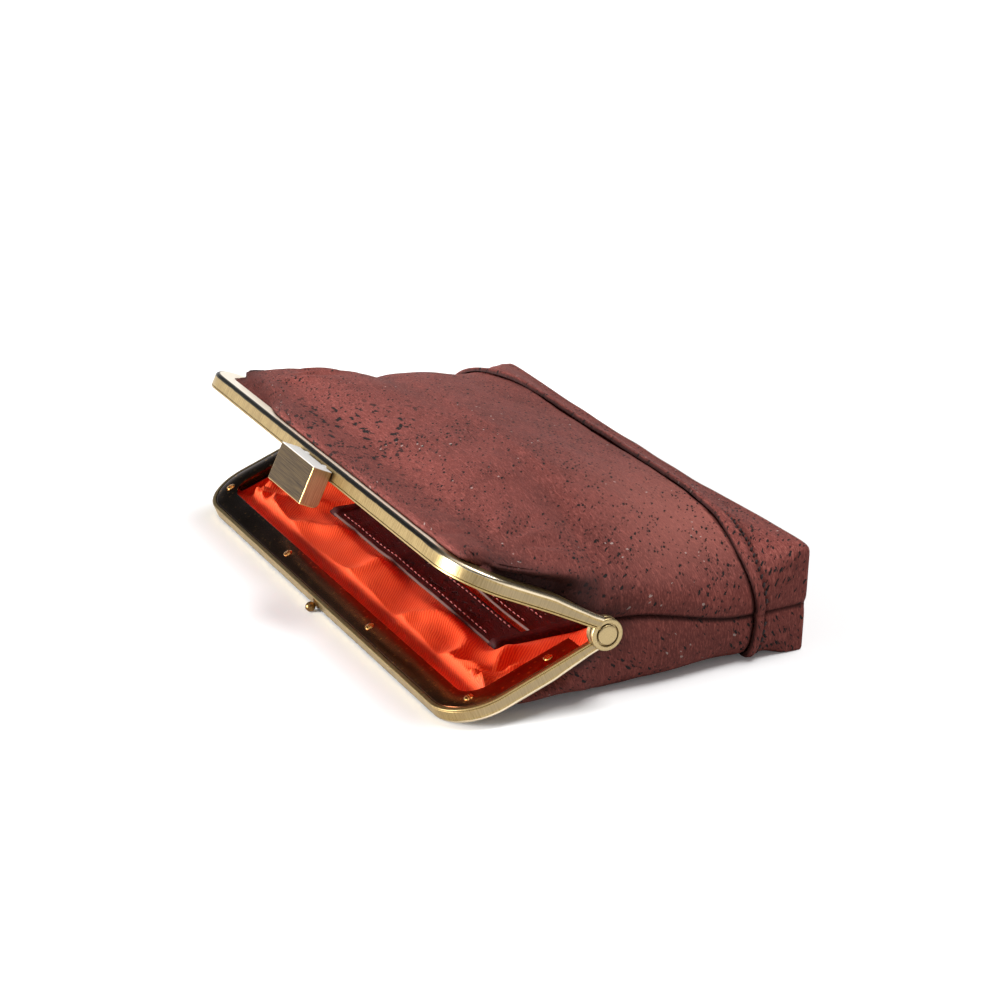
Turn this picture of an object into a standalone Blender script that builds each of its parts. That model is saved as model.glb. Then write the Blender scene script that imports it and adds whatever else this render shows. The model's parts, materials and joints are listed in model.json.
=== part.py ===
"""A clip-frame clutch wallet of cork fabric, lying on its back with the mouth part open.

Two U-shaped metal halves turn on rivets at the ends of their arms. Each half is a folded
channel that grips the edges of the cork and the lining under a screwed inner plate. The
bag is built up from sections that run from the front rim to the bottom band.
Lengths are in metres, angles in radians. +X runs along the hinge axis, +Y from the mouth
to the bottom of the bag, +Z up.
"""

import math

import bmesh
import bpy
import numpy as np
from mathutils import Matrix, Vector

# General fit
CLEARANCE = 0.0003
CUT_OVERRUN = 0.0010

# How the two halves lie: the back half slopes down to its rim, the front half stands up
BACK_TILT = math.radians(18.8)
FRONT_TILT = math.radians(28.0)

# Channel of each frame half
FRAME_WIDTH = 0.1800
FRAME_REACH = 0.0428
CORNER_RADIUS = 0.0140
RIM_HEIGHT = 0.0042
RIM_WALL = 0.0010
RIM_ROUND = 0.0009
RIM_CHAMFER = 0.0003
MEETING_GAP = 0.0012
FLANGE_WIDTH = 0.0055
ARM_FLANGE_WIDTH = 0.0015
FLANGE_TAPER_START = 0.0128
FLANGE_TAPER_END = 0.0095
ARC_STEPS = 9
ROUND_STEPS = 3

# Inner plates and their screws
PLATE_WIDTH = 0.0062
PLATE_THICKNESS = 0.0008
PLATE_ARM_END = 0.0066
SCREW_INSET = 0.0044
SCREW_FRONT_OFFSET = 0.0289
SCREW_CORNER_SIDE = 0.0071
SCREW_CORNER_FRONT = 0.0078
SCREW_ARM_PLACE = 0.0140
SCREW_HEAD_RADIUS = 0.0012
SCREW_HEAD_HEIGHT = 0.00035
SCREW_SHANK_RADIUS = 0.0006
SCREW_BITE = 0.0003
SCREW_SLOT_WIDTH = 0.0003
SCREW_SLOT_DEPTH = 0.0002
SCREW_SIDES = 12

# Hinge lugs and rivets
LUG_RADIUS = 0.0041
LUG_THICKNESS = 0.0014
LUG_STAND_OUT = 0.0017
LUG_SPACE = 0.0005
LUG_RELIEF = 0.0014
LUG_NECK = 0.0062
LUG_BLEND_LENGTH = 0.0160
RIVET_HEAD_RADIUS = 0.00255
RIVET_HEAD_THICKNESS = 0.0007
RIVET_PROUD = 0.0002
RIVET_SHANK_RADIUS = 0.0015
RIVET_TAIL_RADIUS = 0.0024
RIVET_TAIL_THICKNESS = 0.0006
ROUND_SIDES = 28

# Clasp block on the front half and ball stud on the back half
BLOCK_WIDTH = 0.0226
BLOCK_DEPTH = 0.0054
BLOCK_HEIGHT = 0.0103
BLOCK_TOP_DROP = 0.0016
BLOCK_INNER_ROUND = 0.0016
BLOCK_BEVEL = 0.00025
TENON_RADIUS = 0.0008
TENON_SPACING = 0.0120
STUD_BALL_RADIUS = 0.00135
STUD_REACH = 0.0017
STUD_NECK_RADIUS = 0.0006
STUD_COLLAR_RADIUS = 0.00155
STUD_COLLAR_THICKNESS = 0.0003
STUD_RECESS_DEPTH = 0.0006
SPRING_THICKNESS = 0.0003
SPRING_WIDTH = 0.0022
SPRING_CREST = 0.0003

# Cork, lining and pocket layers
CORK_THICKNESS = 0.0010
LINING_THICKNESS = 0.0005
LINING_SLACK = 0.0005
BAND_THICKNESS = 0.0010
POCKET_THICKNESS = 0.0009
FABRIC_EDGE_INSET = 0.0022

# Bag body behind the hinge
BAG_DEPTH = 0.0570
BAG_END_INSET = 0.0032
BAG_MID_INSET = 0.0024
BAG_HINGE_INSET = 0.0036
BAG_MID_PLACE = 0.0200
BAG_HEIGHT = 0.0267
BAG_LEAN = 0.0026
SEAM_DROP = 0.0064
SEAM_DROP_START = 0.0080
SEAM_DROP_LENGTH = 0.0340
SEAM_EDGE = 0.00015
BAND_WIDTH = 0.0132
BAND_TUCK = 0.0070
BAND_STEP_LENGTH = 0.0060
BOTTOM_EDGE_ROUND = 0.0018
RISE_LENGTH = 0.0070
TILT_START = 0.0150
TILT_LENGTH = 0.0350
SHAPE_START = 0.0105
SHAPE_LENGTH = 0.0135
EDGE_DRAW_START = 0.0090
EDGE_DRAW_LENGTH = 0.0050
EDGE_FALL_START = 0.0050
EDGE_FALL_LENGTH = 0.0070
SOFT_CORNER_POWER = 5.0
UNDER_CORNER_POWER = 9.0
BOX_CORNER_POWER = 16.0
SECTION_STEPS = 20
CORNER_STEPS = 6
ROW_LENGTH = 0.0075
FINE_ROW_LENGTH = 0.0030
HINGE_ZONE = 0.0120

# Height of the bag above and below its seam, along its length. A place is a share of the
# frame's reach in front of the hinge and of the bag's depth behind it, and a height is a
# share of the bag's height.
FRONT_HEIGHT_SHARES = ((-1.0, 0.22), (-0.7, 0.33), (-0.5, 0.51), (-0.3, 0.63), (0.0, 0.72),
                       (0.2, 0.70), (0.45, 0.70), (0.7, 0.69), (1.0, 0.57))
BACK_HEIGHT_SHARES = ((-1.0, 0.22), (-0.7, 0.37), (-0.47, 0.53), (-0.23, 0.68), (0.0, 0.78),
                      (0.23, 0.74), (0.5, 0.62), (0.75, 0.50), (1.0, 0.46))

# Card pocket on the back lining
POCKET_LENGTH = 0.1040
POCKET_MOUTH_PLACE = 0.0190
POCKET_STRIP_WIDTH = 0.0095
POCKET_SLOT = 0.0012
POCKET_DEPTH = 0.0400
POCKET_BINDING_WIDTH = 0.0026
POCKET_STAND_OFF = 0.0004
POCKET_STEPS = 16

# Finishes: colour, roughness, metallic
FINISHES = {
    "frame_brass": ((0.62, 0.50, 0.30), 0.34, 1.0),
    "plate_bronze": ((0.10, 0.055, 0.035), 0.22, 1.0),
    "screw_brass": ((0.55, 0.36, 0.17), 0.30, 1.0),
    "block_bronze": ((0.20, 0.14, 0.075), 0.38, 1.0),
    "cork_wine": ((0.23, 0.065, 0.055), 0.72, 0.0),
    "lining_orange": ((0.80, 0.10, 0.02), 0.80, 0.0),
    "pocket_cork": ((0.030, 0.006, 0.007), 0.60, 0.0),
}

# Sizes that follow from the ones above
HALF_WIDTH = FRAME_WIDTH / 2
MEETING_FACE = MEETING_GAP / 2
ARM_END = LUG_RADIUS + LUG_RELIEF
LUG_OUTER_PLACE = HALF_WIDTH + LUG_STAND_OUT
RIM_TOP = MEETING_FACE + RIM_HEIGHT
GROOVE_TOP = RIM_TOP - RIM_WALL - CLEARANCE
PLATE_EDGE = RIM_WALL + CLEARANCE
OUTER_LUG_INSIDE = LUG_OUTER_PLACE - LUG_THICKNESS
INNER_LUG_OUTSIDE = OUTER_LUG_INSIDE - LUG_SPACE
INNER_LUG_INSIDE = INNER_LUG_OUTSIDE - LUG_THICKNESS
RIVET_SEAT = LUG_OUTER_PLACE + RIVET_PROUD - RIVET_HEAD_THICKNESS
BAND_LINE = BAG_DEPTH - BAND_WIDTH
FLOOR_DROP = (
    (FRAME_REACH - RIM_ROUND) * math.sin(BACK_TILT)
    + (RIM_TOP - RIM_ROUND) * math.cos(BACK_TILT)
    + RIM_ROUND
)


def clear_scene():
    for thing in list(bpy.data.objects):
        bpy.data.objects.remove(thing, do_unlink=True)


def finish_material(name):
    """One Principled material for each finish, made on first use."""
    if name in bpy.data.materials:
        return bpy.data.materials[name]
    colour, roughness, metallic = FINISHES[name]
    material = bpy.data.materials.new(name)
    material.use_nodes = True
    shader = material.node_tree.nodes["Principled BSDF"]
    shader.inputs["Base Color"].default_value = (*colour, 1)
    shader.inputs["Roughness"].default_value = roughness
    shader.inputs["Metallic"].default_value = metallic
    return material


def add_object(name, mesh, finish, parent=None, smooth=True):
    """Links a mesh under its parent empty, with its finish and smooth round faces."""
    obj = bpy.data.objects.new(name, mesh)
    bpy.context.scene.collection.objects.link(obj)
    if finish:
        mesh.materials.clear()
        mesh.materials.append(finish_material(finish))
    if smooth:
        mesh.shade_smooth()
        mesh.set_sharp_from_angle(angle=math.radians(35))
    obj.parent = parent
    return obj


def add_empty(name, place, turn, parent=None):
    empty = bpy.data.objects.new(name, None)
    bpy.context.scene.collection.objects.link(empty)
    empty.location = place
    empty.rotation_euler = (turn, 0, 0)
    empty.parent = parent
    return empty


def closed_mesh(name, points, faces):
    """Makes a mesh whose faces all point outwards."""
    mesh = bpy.data.meshes.new(name)
    mesh.from_pydata([tuple(map(float, p)) for p in points], [], faces)
    work = bmesh.new()
    work.from_mesh(mesh)
    bmesh.ops.recalc_face_normals(work, faces=work.faces)
    work.to_mesh(mesh)
    work.free()
    return mesh


def loft_rings(name, rings):
    """Skins equal rings of points into one closed body, with a flat face at each end."""
    count = len(rings[0])
    points = [p for ring in rings for p in ring]
    faces = []
    for row in range(len(rings) - 1):
        for side in range(count):
            a = row * count + side
            b = row * count + (side + 1) % count
            faces.append((a, b, b + count, a + count))
    faces.append(tuple(range(count))[::-1])
    faces.append(tuple(range((len(rings) - 1) * count, len(rings) * count)))
    return closed_mesh(name, points, faces)


def turned_mesh(name, profile, axis, sides):
    """Turns a profile of (place along the axis, radius), ending on the axis at both ends."""
    inner = profile[1:-1]
    angles = [2 * math.pi * k / sides for k in range(sides)]
    points = []
    for place, radius in inner:
        for angle in angles:
            across, along = radius * math.cos(angle), radius * math.sin(angle)
            points.append((place, across, along) if axis == "X" else (across, along, place))
    first, last = len(points), len(points) + 1
    for place, _ in (profile[0], profile[-1]):
        points.append((place, 0, 0) if axis == "X" else (0, 0, place))
    faces = []
    for row in range(len(inner) - 1):
        for side in range(sides):
            a = row * sides + side
            b = row * sides + (side + 1) % sides
            faces.append((a, b, b + sides, a + sides))
    end = (len(inner) - 1) * sides
    for side in range(sides):
        faces.append((first, (side + 1) % sides, side))
        faces.append((last, end + side, end + (side + 1) % sides))
    return closed_mesh(name, points, faces)


def hull_mesh(name, points):
    """The convex body round a set of points."""
    mesh = bpy.data.meshes.new(name)
    work = bmesh.new()
    for point in points:
        work.verts.new(point)
    bmesh.ops.convex_hull(work, input=work.verts)
    loose = [v for v in work.verts if not v.link_faces]
    bmesh.ops.delete(work, geom=loose, context="VERTS")
    bmesh.ops.recalc_face_normals(work, faces=work.faces)
    work.to_mesh(mesh)
    work.free()
    return mesh


def box_points(low, high):
    return [(x, y, z) for x in (low[0], high[0]) for y in (low[1], high[1]) for z in (low[2], high[2])]


def rod_mesh(name, start, end, radius, sides=SCREW_SIDES):
    """A round rod between two points."""
    start, end = Vector(start), Vector(end)
    turn = (end - start).to_track_quat("Z", "Y").to_matrix()
    rings = []
    for centre in (start, end):
        ring = []
        for k in range(sides):
            angle = 2 * math.pi * k / sides
            ring.append(centre + turn @ Vector((radius * math.cos(angle), radius * math.sin(angle), 0)))
        rings.append(ring)
    return loft_rings(name, rings)


def merged_mesh(name, meshes):
    """Several separate closed bodies in one mesh, for use as a cutter."""
    work = bmesh.new()
    for mesh in meshes:
        work.from_mesh(mesh)
    merged = bpy.data.meshes.new(name)
    work.to_mesh(merged)
    work.free()
    return merged


def combine(obj, name, mesh, operation):
    """Adds a live Boolean with a hidden helper that holds the mesh."""
    helper = add_object(name, mesh, None, obj.parent, smooth=False)
    helper.hide_render = True
    helper.display_type = "WIRE"
    modifier = obj.modifiers.new(name, "BOOLEAN")
    modifier.operation = operation
    modifier.object = helper
    modifier.solver = "EXACT"
    return helper


def smoothstep(value):
    value = np.clip(value, 0, 1)
    return value * value * (3 - 2 * value)


def smooth_table(table, place):
    """Reads a table of pairs at a place, easing from each pair to the next with no kinks."""
    places = np.array([row[0] for row in table], float)
    values = np.array([row[1] for row in table], float)
    slopes = np.gradient(values, places)
    place = np.clip(place, places[0], places[-1])
    k = np.clip(np.searchsorted(places, place) - 1, 0, len(places) - 2)
    span = places[k + 1] - places[k]
    t = (place - places[k]) / span
    start = (2 * t**3 - 3 * t**2 + 1) * values[k] + (t**3 - 2 * t**2 + t) * span * slopes[k]
    finish = (3 * t**2 - 2 * t**3) * values[k + 1] + (t**3 - t**2) * span * slopes[k + 1]
    return start + finish


def rim_stations(arm_end):
    """Stations round the U of a frame half, from the right arm's end to the left's.

    Each is a point on the outer face, in the plane of the half, and the inward direction.
    """
    right = [((HALF_WIDTH, -arm_end), (-1, 0))]
    for place in (FLANGE_TAPER_END, FLANGE_TAPER_START):
        right.append(((HALF_WIDTH, -place), (-1, 0)))
    for k in range(ARC_STEPS + 1):
        angle = math.pi / 2 * k / ARC_STEPS
        out = (math.cos(angle), -math.sin(angle))
        centre = (HALF_WIDTH - CORNER_RADIUS, -(FRAME_REACH - CORNER_RADIUS))
        place = (centre[0] + CORNER_RADIUS * out[0], centre[1] + CORNER_RADIUS * out[1])
        right.append((place, (-out[0], -out[1])))
    left = [((-p[0], p[1]), (-n[0], n[1])) for p, n in reversed(right)]
    return right + left


def sweep_rim(name, section, arm_end, side):
    """Carries a section of (inset, height) round the U. side is 1 for the front half."""
    rings = []
    for place, inward in rim_stations(arm_end):
        ring = []
        for inset, height in section(-place[1]):
            ring.append((place[0] + inset * inward[0], place[1] + inset * inward[1], side * height))
        rings.append(ring)
    return loft_rings(name, rings)


def channel_section(reach):
    """Web, rounded outer edge and flange of the channel, at a distance from the hinge."""
    taper = (reach - FLANGE_TAPER_END) / (FLANGE_TAPER_START - FLANGE_TAPER_END)
    flange = ARM_FLANGE_WIDTH + (FLANGE_WIDTH - ARM_FLANGE_WIDTH) * min(max(taper, 0), 1)
    section = [(RIM_CHAMFER, MEETING_FACE), (0, MEETING_FACE + RIM_CHAMFER)]
    for k in range(ROUND_STEPS + 1):
        angle = math.pi / 2 * k / ROUND_STEPS
        section.append(
            (RIM_ROUND * (1 - math.cos(angle)), RIM_TOP - RIM_ROUND * (1 - math.sin(angle)))
        )
    section += [
        (flange, RIM_TOP),
        (flange, RIM_TOP - RIM_WALL),
        (RIM_WALL, RIM_TOP - RIM_WALL),
        (RIM_WALL, MEETING_FACE),
    ]
    return section


def plate_section(reach):
    top = MEETING_FACE + PLATE_THICKNESS
    return [
        (PLATE_EDGE, MEETING_FACE),
        (PLATE_EDGE, top),
        (PLATE_EDGE + PLATE_WIDTH, top),
        (PLATE_EDGE + PLATE_WIDTH, MEETING_FACE),
    ]


def screw_places():
    """Centres of the six screws of one half, from the right arm round to the left."""
    right = [
        (HALF_WIDTH - SCREW_INSET, -SCREW_ARM_PLACE),
        (HALF_WIDTH - SCREW_CORNER_SIDE, -(FRAME_REACH - SCREW_CORNER_FRONT)),
        (SCREW_FRONT_OFFSET, -(FRAME_REACH - SCREW_INSET)),
    ]
    return right + [(-x, y) for x, y in reversed(right)]


def screw_hole_cutter(name, side):
    """Holes through the plate and the fabric edges, and a little way into the flange."""
    rods = []
    radius = SCREW_SHANK_RADIUS + CLEARANCE
    low = side * (MEETING_FACE - CUT_OVERRUN)
    high = side * (RIM_TOP - RIM_WALL + SCREW_BITE)
    for number, (x, y) in enumerate(screw_places()):
        rods.append(rod_mesh(f"{name}_{number}", (x, y, low), (x, y, high), radius))
    return merged_mesh(name, rods)


def screw_mesh(name):
    """Low domed head and shank, standing on its head's underside along +Z, head down."""
    seat = MEETING_FACE - CLEARANCE / 3
    top = RIM_TOP - RIM_WALL + SCREW_BITE - CLEARANCE / 2
    profile = [(seat - SCREW_HEAD_HEIGHT, 0)]
    for k in range(1, ROUND_STEPS + 2):
        angle = math.pi / 2 * k / (ROUND_STEPS + 1)
        profile.append((seat - SCREW_HEAD_HEIGHT * math.cos(angle), SCREW_HEAD_RADIUS * math.sin(angle)))
    profile += [(seat, SCREW_SHANK_RADIUS), (top, SCREW_SHANK_RADIUS), (top, 0)]
    return turned_mesh(name, profile, "Z", SCREW_SIDES)


def add_screws(half, parent, side):
    """Six slotted screws, heads on the plate's open face."""
    for number, (x, y) in enumerate(screw_places(), start=1):
        name = f"{half}_plate_screw_{number}"
        mesh = screw_mesh(name)
        if side < 0:
            mesh.transform(Matrix.Rotation(math.pi, 4, "X"))
        screw = add_object(name, mesh, "screw_brass", parent)
        screw.location = (x, y, 0)
        bottom = MEETING_FACE - CLEARANCE / 3 - SCREW_HEAD_HEIGHT
        ends = sorted((side * (bottom - CUT_OVERRUN), side * (bottom + SCREW_SLOT_DEPTH)))
        reach = SCREW_HEAD_RADIUS + CUT_OVERRUN
        slot = hull_mesh(
            f"{name}_slot",
            box_points((-reach, -SCREW_SLOT_WIDTH / 2, ends[0]), (reach, SCREW_SLOT_WIDTH / 2, ends[1])),
        )
        turn = math.radians(40 + 67 * number)
        slot.transform(Matrix.Rotation(turn, 4, "Z"))
        helper = combine(screw, f"{name}_slot", slot, "DIFFERENCE")
        helper.location = (x, y, 0)


def lug_disc(name, inside, outside, neck):
    """A round lug on the axis, drawn out to its neck on the arm, as one convex body."""
    points = []
    for k in range(ROUND_SIDES):
        angle = 2 * math.pi * k / ROUND_SIDES
        for x in (inside, outside):
            points.append((x, LUG_RADIUS * math.cos(angle), LUG_RADIUS * math.sin(angle)))
    return hull_mesh(name, points + neck)


def mirrored_x(mesh, name):
    """A copy of a mesh on the left end, with its faces turned out again."""
    copy = mesh.copy()
    copy.name = name
    copy.transform(Matrix.Scale(-1, 4, (1, 0, 0)))
    copy.flip_normals()
    return copy


def add_front_frame(parent):
    """Front half: channel, outer lugs with their rivet seats, and the holes for the clasp."""
    mesh = sweep_rim("front_frame", channel_section, ARM_END, 1)
    frame = add_object("front_frame", mesh, "frame_brass", parent)
    near = box_points(
        (OUTER_LUG_INSIDE, -LUG_NECK, MEETING_FACE), (LUG_OUTER_PLACE, -LUG_NECK, RIM_TOP - RIM_ROUND)
    )
    web_inside = HALF_WIDTH - RIM_WALL
    far = box_points(
        (web_inside, -LUG_BLEND_LENGTH, MEETING_FACE),
        (HALF_WIDTH, -LUG_BLEND_LENGTH, RIM_TOP - RIM_ROUND),
    )
    blend = hull_mesh("front_lug_blend", near + far)
    disc = lug_disc("front_lug", OUTER_LUG_INSIDE, LUG_OUTER_PLACE, near)
    for side, copy in (("right", False), ("left", True)):
        for part in (blend, disc):
            shape = mirrored_x(part, f"{part.name}_{side}") if copy else part.copy()
            combine(frame, f"{part.name}_{side}", shape, "UNION")
    sign = {"right": 1, "left": -1}
    for side, s in sign.items():
        start = s * (OUTER_LUG_INSIDE - LUG_SPACE / 2)
        end = s * (LUG_OUTER_PLACE + CUT_OVERRUN)
        hole = rod_mesh("hole", (start, 0, 0), (end, 0, 0), RIVET_SHANK_RADIUS + CLEARANCE, ROUND_SIDES)
        combine(frame, f"front_lug_hole_{side}", hole, "DIFFERENCE")
        seat = rod_mesh(
            "seat", (s * (RIVET_SEAT - CLEARANCE), 0, 0), (end, 0, 0),
            RIVET_HEAD_RADIUS + CLEARANCE, ROUND_SIDES
        )
        combine(frame, f"front_lug_seat_{side}", seat, "DIFFERENCE")
    combine(frame, "front_flange_holes", screw_hole_cutter("front_flange_holes", 1), "DIFFERENCE")
    rods = []
    for x in (-TENON_SPACING / 2, TENON_SPACING / 2):
        rods.append(
            rod_mesh(
                "tenon_hole",
                (x, -(FRAME_REACH + CUT_OVERRUN), tenon_height()),
                (x, -(FRAME_REACH - RIM_WALL - CUT_OVERRUN / 2), tenon_height()),
                TENON_RADIUS + CLEARANCE,
            )
        )
    combine(frame, "front_tenon_holes", merged_mesh("front_tenon_holes", rods), "DIFFERENCE")
    return frame


def tenon_height():
    return MEETING_FACE + RIM_HEIGHT / 2


def add_back_frame(parent):
    """Back half: channel, inner lugs, and the recess that the stud stands in."""
    mesh = sweep_rim("back_frame", channel_section, ARM_END, -1)
    frame = add_object("back_frame", mesh, "frame_brass", parent)
    neck = box_points(
        (INNER_LUG_INSIDE, -LUG_NECK, -(RIM_TOP - RIM_ROUND)), (INNER_LUG_OUTSIDE, -LUG_NECK, -MEETING_FACE)
    )
    disc = lug_disc("back_lug", INNER_LUG_INSIDE, INNER_LUG_OUTSIDE, neck)
    for side, s in (("right", 1), ("left", -1)):
        shape = mirrored_x(disc, f"back_lug_{side}") if s < 0 else disc.copy()
        combine(frame, f"back_lug_{side}", shape, "UNION")
        start = s * (INNER_LUG_INSIDE - CUT_OVERRUN)
        end = s * (INNER_LUG_OUTSIDE + LUG_SPACE / 2)
        hole = rod_mesh("hole", (start, 0, 0), (end, 0, 0), RIVET_SHANK_RADIUS + CLEARANCE, ROUND_SIDES)
        combine(frame, f"back_lug_hole_{side}", hole, "DIFFERENCE")
    combine(frame, "back_flange_holes", screw_hole_cutter("back_flange_holes", -1), "DIFFERENCE")
    recess = rod_mesh(
        "recess",
        (0, -(FRAME_REACH + CUT_OVERRUN), stud_height()),
        (0, -(FRAME_REACH - STUD_RECESS_DEPTH), stud_height()),
        STUD_COLLAR_RADIUS + CLEARANCE,
        ROUND_SIDES,
    )
    combine(frame, "back_stud_recess", recess, "DIFFERENCE")
    return frame


def stud_height():
    return -(MEETING_FACE + RIM_HEIGHT / 2)


def add_plate(half, parent, side):
    mesh = sweep_rim(f"{half}_plate", plate_section, PLATE_ARM_END, side)
    plate = add_object(f"{half}_plate", mesh, "plate_bronze", parent)
    cutter = screw_hole_cutter(f"{half}_plate_holes", side)
    combine(plate, f"{half}_plate_holes", cutter, "DIFFERENCE")
    return plate


def add_rivets(parent):
    """A rivet at each end of the axis: domed head in the outer lug, tail inside the inner."""
    head_top = LUG_OUTER_PLACE + RIVET_PROUD
    tail = INNER_LUG_INSIDE - CLEARANCE
    edge = RIVET_HEAD_THICKNESS / 3
    profile = [
        (head_top, 0),
        (head_top, RIVET_HEAD_RADIUS - edge * 2),
        (head_top - edge / 2, RIVET_HEAD_RADIUS - edge / 2),
        (head_top - edge * 2, RIVET_HEAD_RADIUS),
        (RIVET_SEAT, RIVET_HEAD_RADIUS),
        (RIVET_SEAT, RIVET_SHANK_RADIUS),
        (tail, RIVET_SHANK_RADIUS),
        (tail, RIVET_TAIL_RADIUS),
        (tail - RIVET_TAIL_THICKNESS / 2, RIVET_TAIL_RADIUS),
        (tail - RIVET_TAIL_THICKNESS, RIVET_TAIL_RADIUS / 2),
        (tail - RIVET_TAIL_THICKNESS, 0),
    ]
    mesh = turned_mesh("right_hinge_rivet", profile, "X", ROUND_SIDES)
    add_object("right_hinge_rivet", mesh, "frame_brass", parent)
    add_object("left_hinge_rivet", mirrored_x(mesh, "left_hinge_rivet"), "frame_brass", parent)


def block_bounds():
    """Front, back, bottom and top of the clasp block, in the plane of the front half."""
    back = -(FRAME_REACH + CLEARANCE)
    top = RIM_TOP - BLOCK_TOP_DROP
    return back - BLOCK_DEPTH, back, top - BLOCK_HEIGHT, top


def slot_bounds():
    """The stud's slot in the back of the block, as low and high corners."""
    front, back, bottom, _ = block_bounds()
    ball = -(FRAME_REACH + STUD_REACH)
    room = STUD_BALL_RADIUS + CLEARANCE
    roof = stud_height() + STUD_BALL_RADIUS + CLEARANCE * 2
    front_wall = ball - room - SPRING_THICKNESS - SPRING_CREST - CLEARANCE * 2
    return (-room, front_wall, bottom - CUT_OVERRUN), (room, back + CUT_OVERRUN, roof)


def add_clasp_block(parent):
    """Rectangular bar on the front rim. Its back slot takes the stud as the halves close."""
    front, back, bottom, top = block_bounds()
    outline = [(front, bottom), (front, top), (back, top)]
    for k in range(ARC_STEPS // 2 + 1):
        angle = math.pi / 2 * k / (ARC_STEPS // 2)
        outline.append(
            (
                back - BLOCK_INNER_ROUND * (1 - math.cos(angle)),
                bottom + BLOCK_INNER_ROUND * (1 - math.sin(angle)),
            )
        )
    rings = [[(x, y, z) for y, z in outline] for x in (-BLOCK_WIDTH / 2, BLOCK_WIDTH / 2)]
    mesh = loft_rings("clasp_block", rings)
    block = add_object("clasp_block", mesh, "block_bronze", parent)
    bevel = block.modifiers.new("edges", "BEVEL")
    bevel.width = BLOCK_BEVEL
    bevel.segments = 2
    bevel.limit_method = "ANGLE"
    bevel.angle_limit = math.radians(40)
    for side, x in (("right", TENON_SPACING / 2), ("left", -TENON_SPACING / 2)):
        tenon = rod_mesh(
            "tenon",
            (x, back - CUT_OVERRUN, tenon_height()),
            (x, -(FRAME_REACH - RIM_WALL + CLEARANCE), tenon_height()),
            TENON_RADIUS,
        )
        combine(block, f"clasp_tenon_{side}", tenon, "UNION")
    combine(block, "clasp_slot", hull_mesh("clasp_slot", box_points(*slot_bounds())), "DIFFERENCE")
    return block


def add_clasp_spring(parent):
    """Leaf on the slot's front wall, with a low crest that the ball passes under."""
    low, high = slot_bounds()
    wall = low[1] + CLEARANCE
    _, _, bottom, _ = block_bounds()
    start, end = bottom + CLEARANCE, high[2] - CLEARANCE
    rings = []
    for k in range(ARC_STEPS + 1):
        share = k / ARC_STEPS
        crest = SPRING_CREST * math.sin(math.pi * share) ** 2
        z = start + (end - start) * share
        rings.append(
            [
                (-SPRING_WIDTH / 2, wall + crest, z),
                (SPRING_WIDTH / 2, wall + crest, z),
                (SPRING_WIDTH / 2, wall + crest + SPRING_THICKNESS, z),
                (-SPRING_WIDTH / 2, wall + crest + SPRING_THICKNESS, z),
            ]
        )
    add_object("clasp_spring", loft_rings("clasp_spring", rings), "screw_brass", parent)


def add_clasp_stud(parent):
    """Ball, neck and collar turned in one piece, standing in the recess of the back rim."""
    foot = STUD_RECESS_DEPTH - CLEARANCE
    collar = foot - STUD_COLLAR_THICKNESS
    steps = ARC_STEPS
    start = math.asin(STUD_NECK_RADIUS / STUD_BALL_RADIUS)
    profile = [(-foot, 0), (-foot, STUD_COLLAR_RADIUS)]
    profile += [(-collar, STUD_COLLAR_RADIUS), (-collar, STUD_NECK_RADIUS)]
    for k in range(steps):
        angle = start + (math.pi - start) * k / steps
        profile.append(
            (STUD_REACH - STUD_BALL_RADIUS * math.cos(angle), STUD_BALL_RADIUS * math.sin(angle))
        )
    profile.append((STUD_REACH + STUD_BALL_RADIUS, 0))
    mesh = turned_mesh("clasp_stud", profile, "Z", SCREW_SIDES)
    mesh.transform(Matrix.Rotation(math.pi / 2, 4, "X"))
    stud = add_object("clasp_stud", mesh, "frame_brass", parent)
    stud.location = (0, -FRAME_REACH, stud_height())


def spine(place, tilt, side):
    """The line that a side's sections stand on: the arm in front, the seam behind."""
    drop = SEAM_DROP * smoothstep((place - SEAM_DROP_START) / SEAM_DROP_LENGTH)
    ahead = place < 0
    y = np.where(ahead, place * math.cos(tilt), place)
    z = np.where(ahead, -side * place * math.sin(tilt), -drop)
    return y, z


def rear_width(place):
    """Half the bag's width behind the hinge."""
    swell = smoothstep(place / BAG_MID_PLACE)
    fall = smoothstep((place - BAG_MID_PLACE) / (BAND_LINE - BAG_MID_PLACE))
    inset = BAG_HINGE_INSET + (BAG_MID_INSET - BAG_HINGE_INSET) * swell
    inset = inset + (BAG_END_INSET - BAG_MID_INSET) * fall
    return HALF_WIDTH - inset


def front_width(place):
    """Half the width of the gripped edges, which round the frame's corners."""
    past = -place - (FRAME_REACH - CORNER_RADIUS)
    inner = CORNER_RADIUS - FABRIC_EDGE_INSET
    share = min(max(past / inner, 0), 1)
    return HALF_WIDTH - CORNER_RADIUS + inner * math.sqrt(1 - share**2)


def rim_depth(x, place):
    """How far points of a row lie inside the frame's outer face."""
    over_x = np.abs(x) - (HALF_WIDTH - CORNER_RADIUS)
    over_y = np.full_like(x, -place - (FRAME_REACH - CORNER_RADIUS))
    outside = np.hypot(np.maximum(over_x, 0), np.maximum(over_y, 0))
    return CORNER_RADIUS - outside - np.minimum(np.maximum(over_x, over_y), 0)


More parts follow.
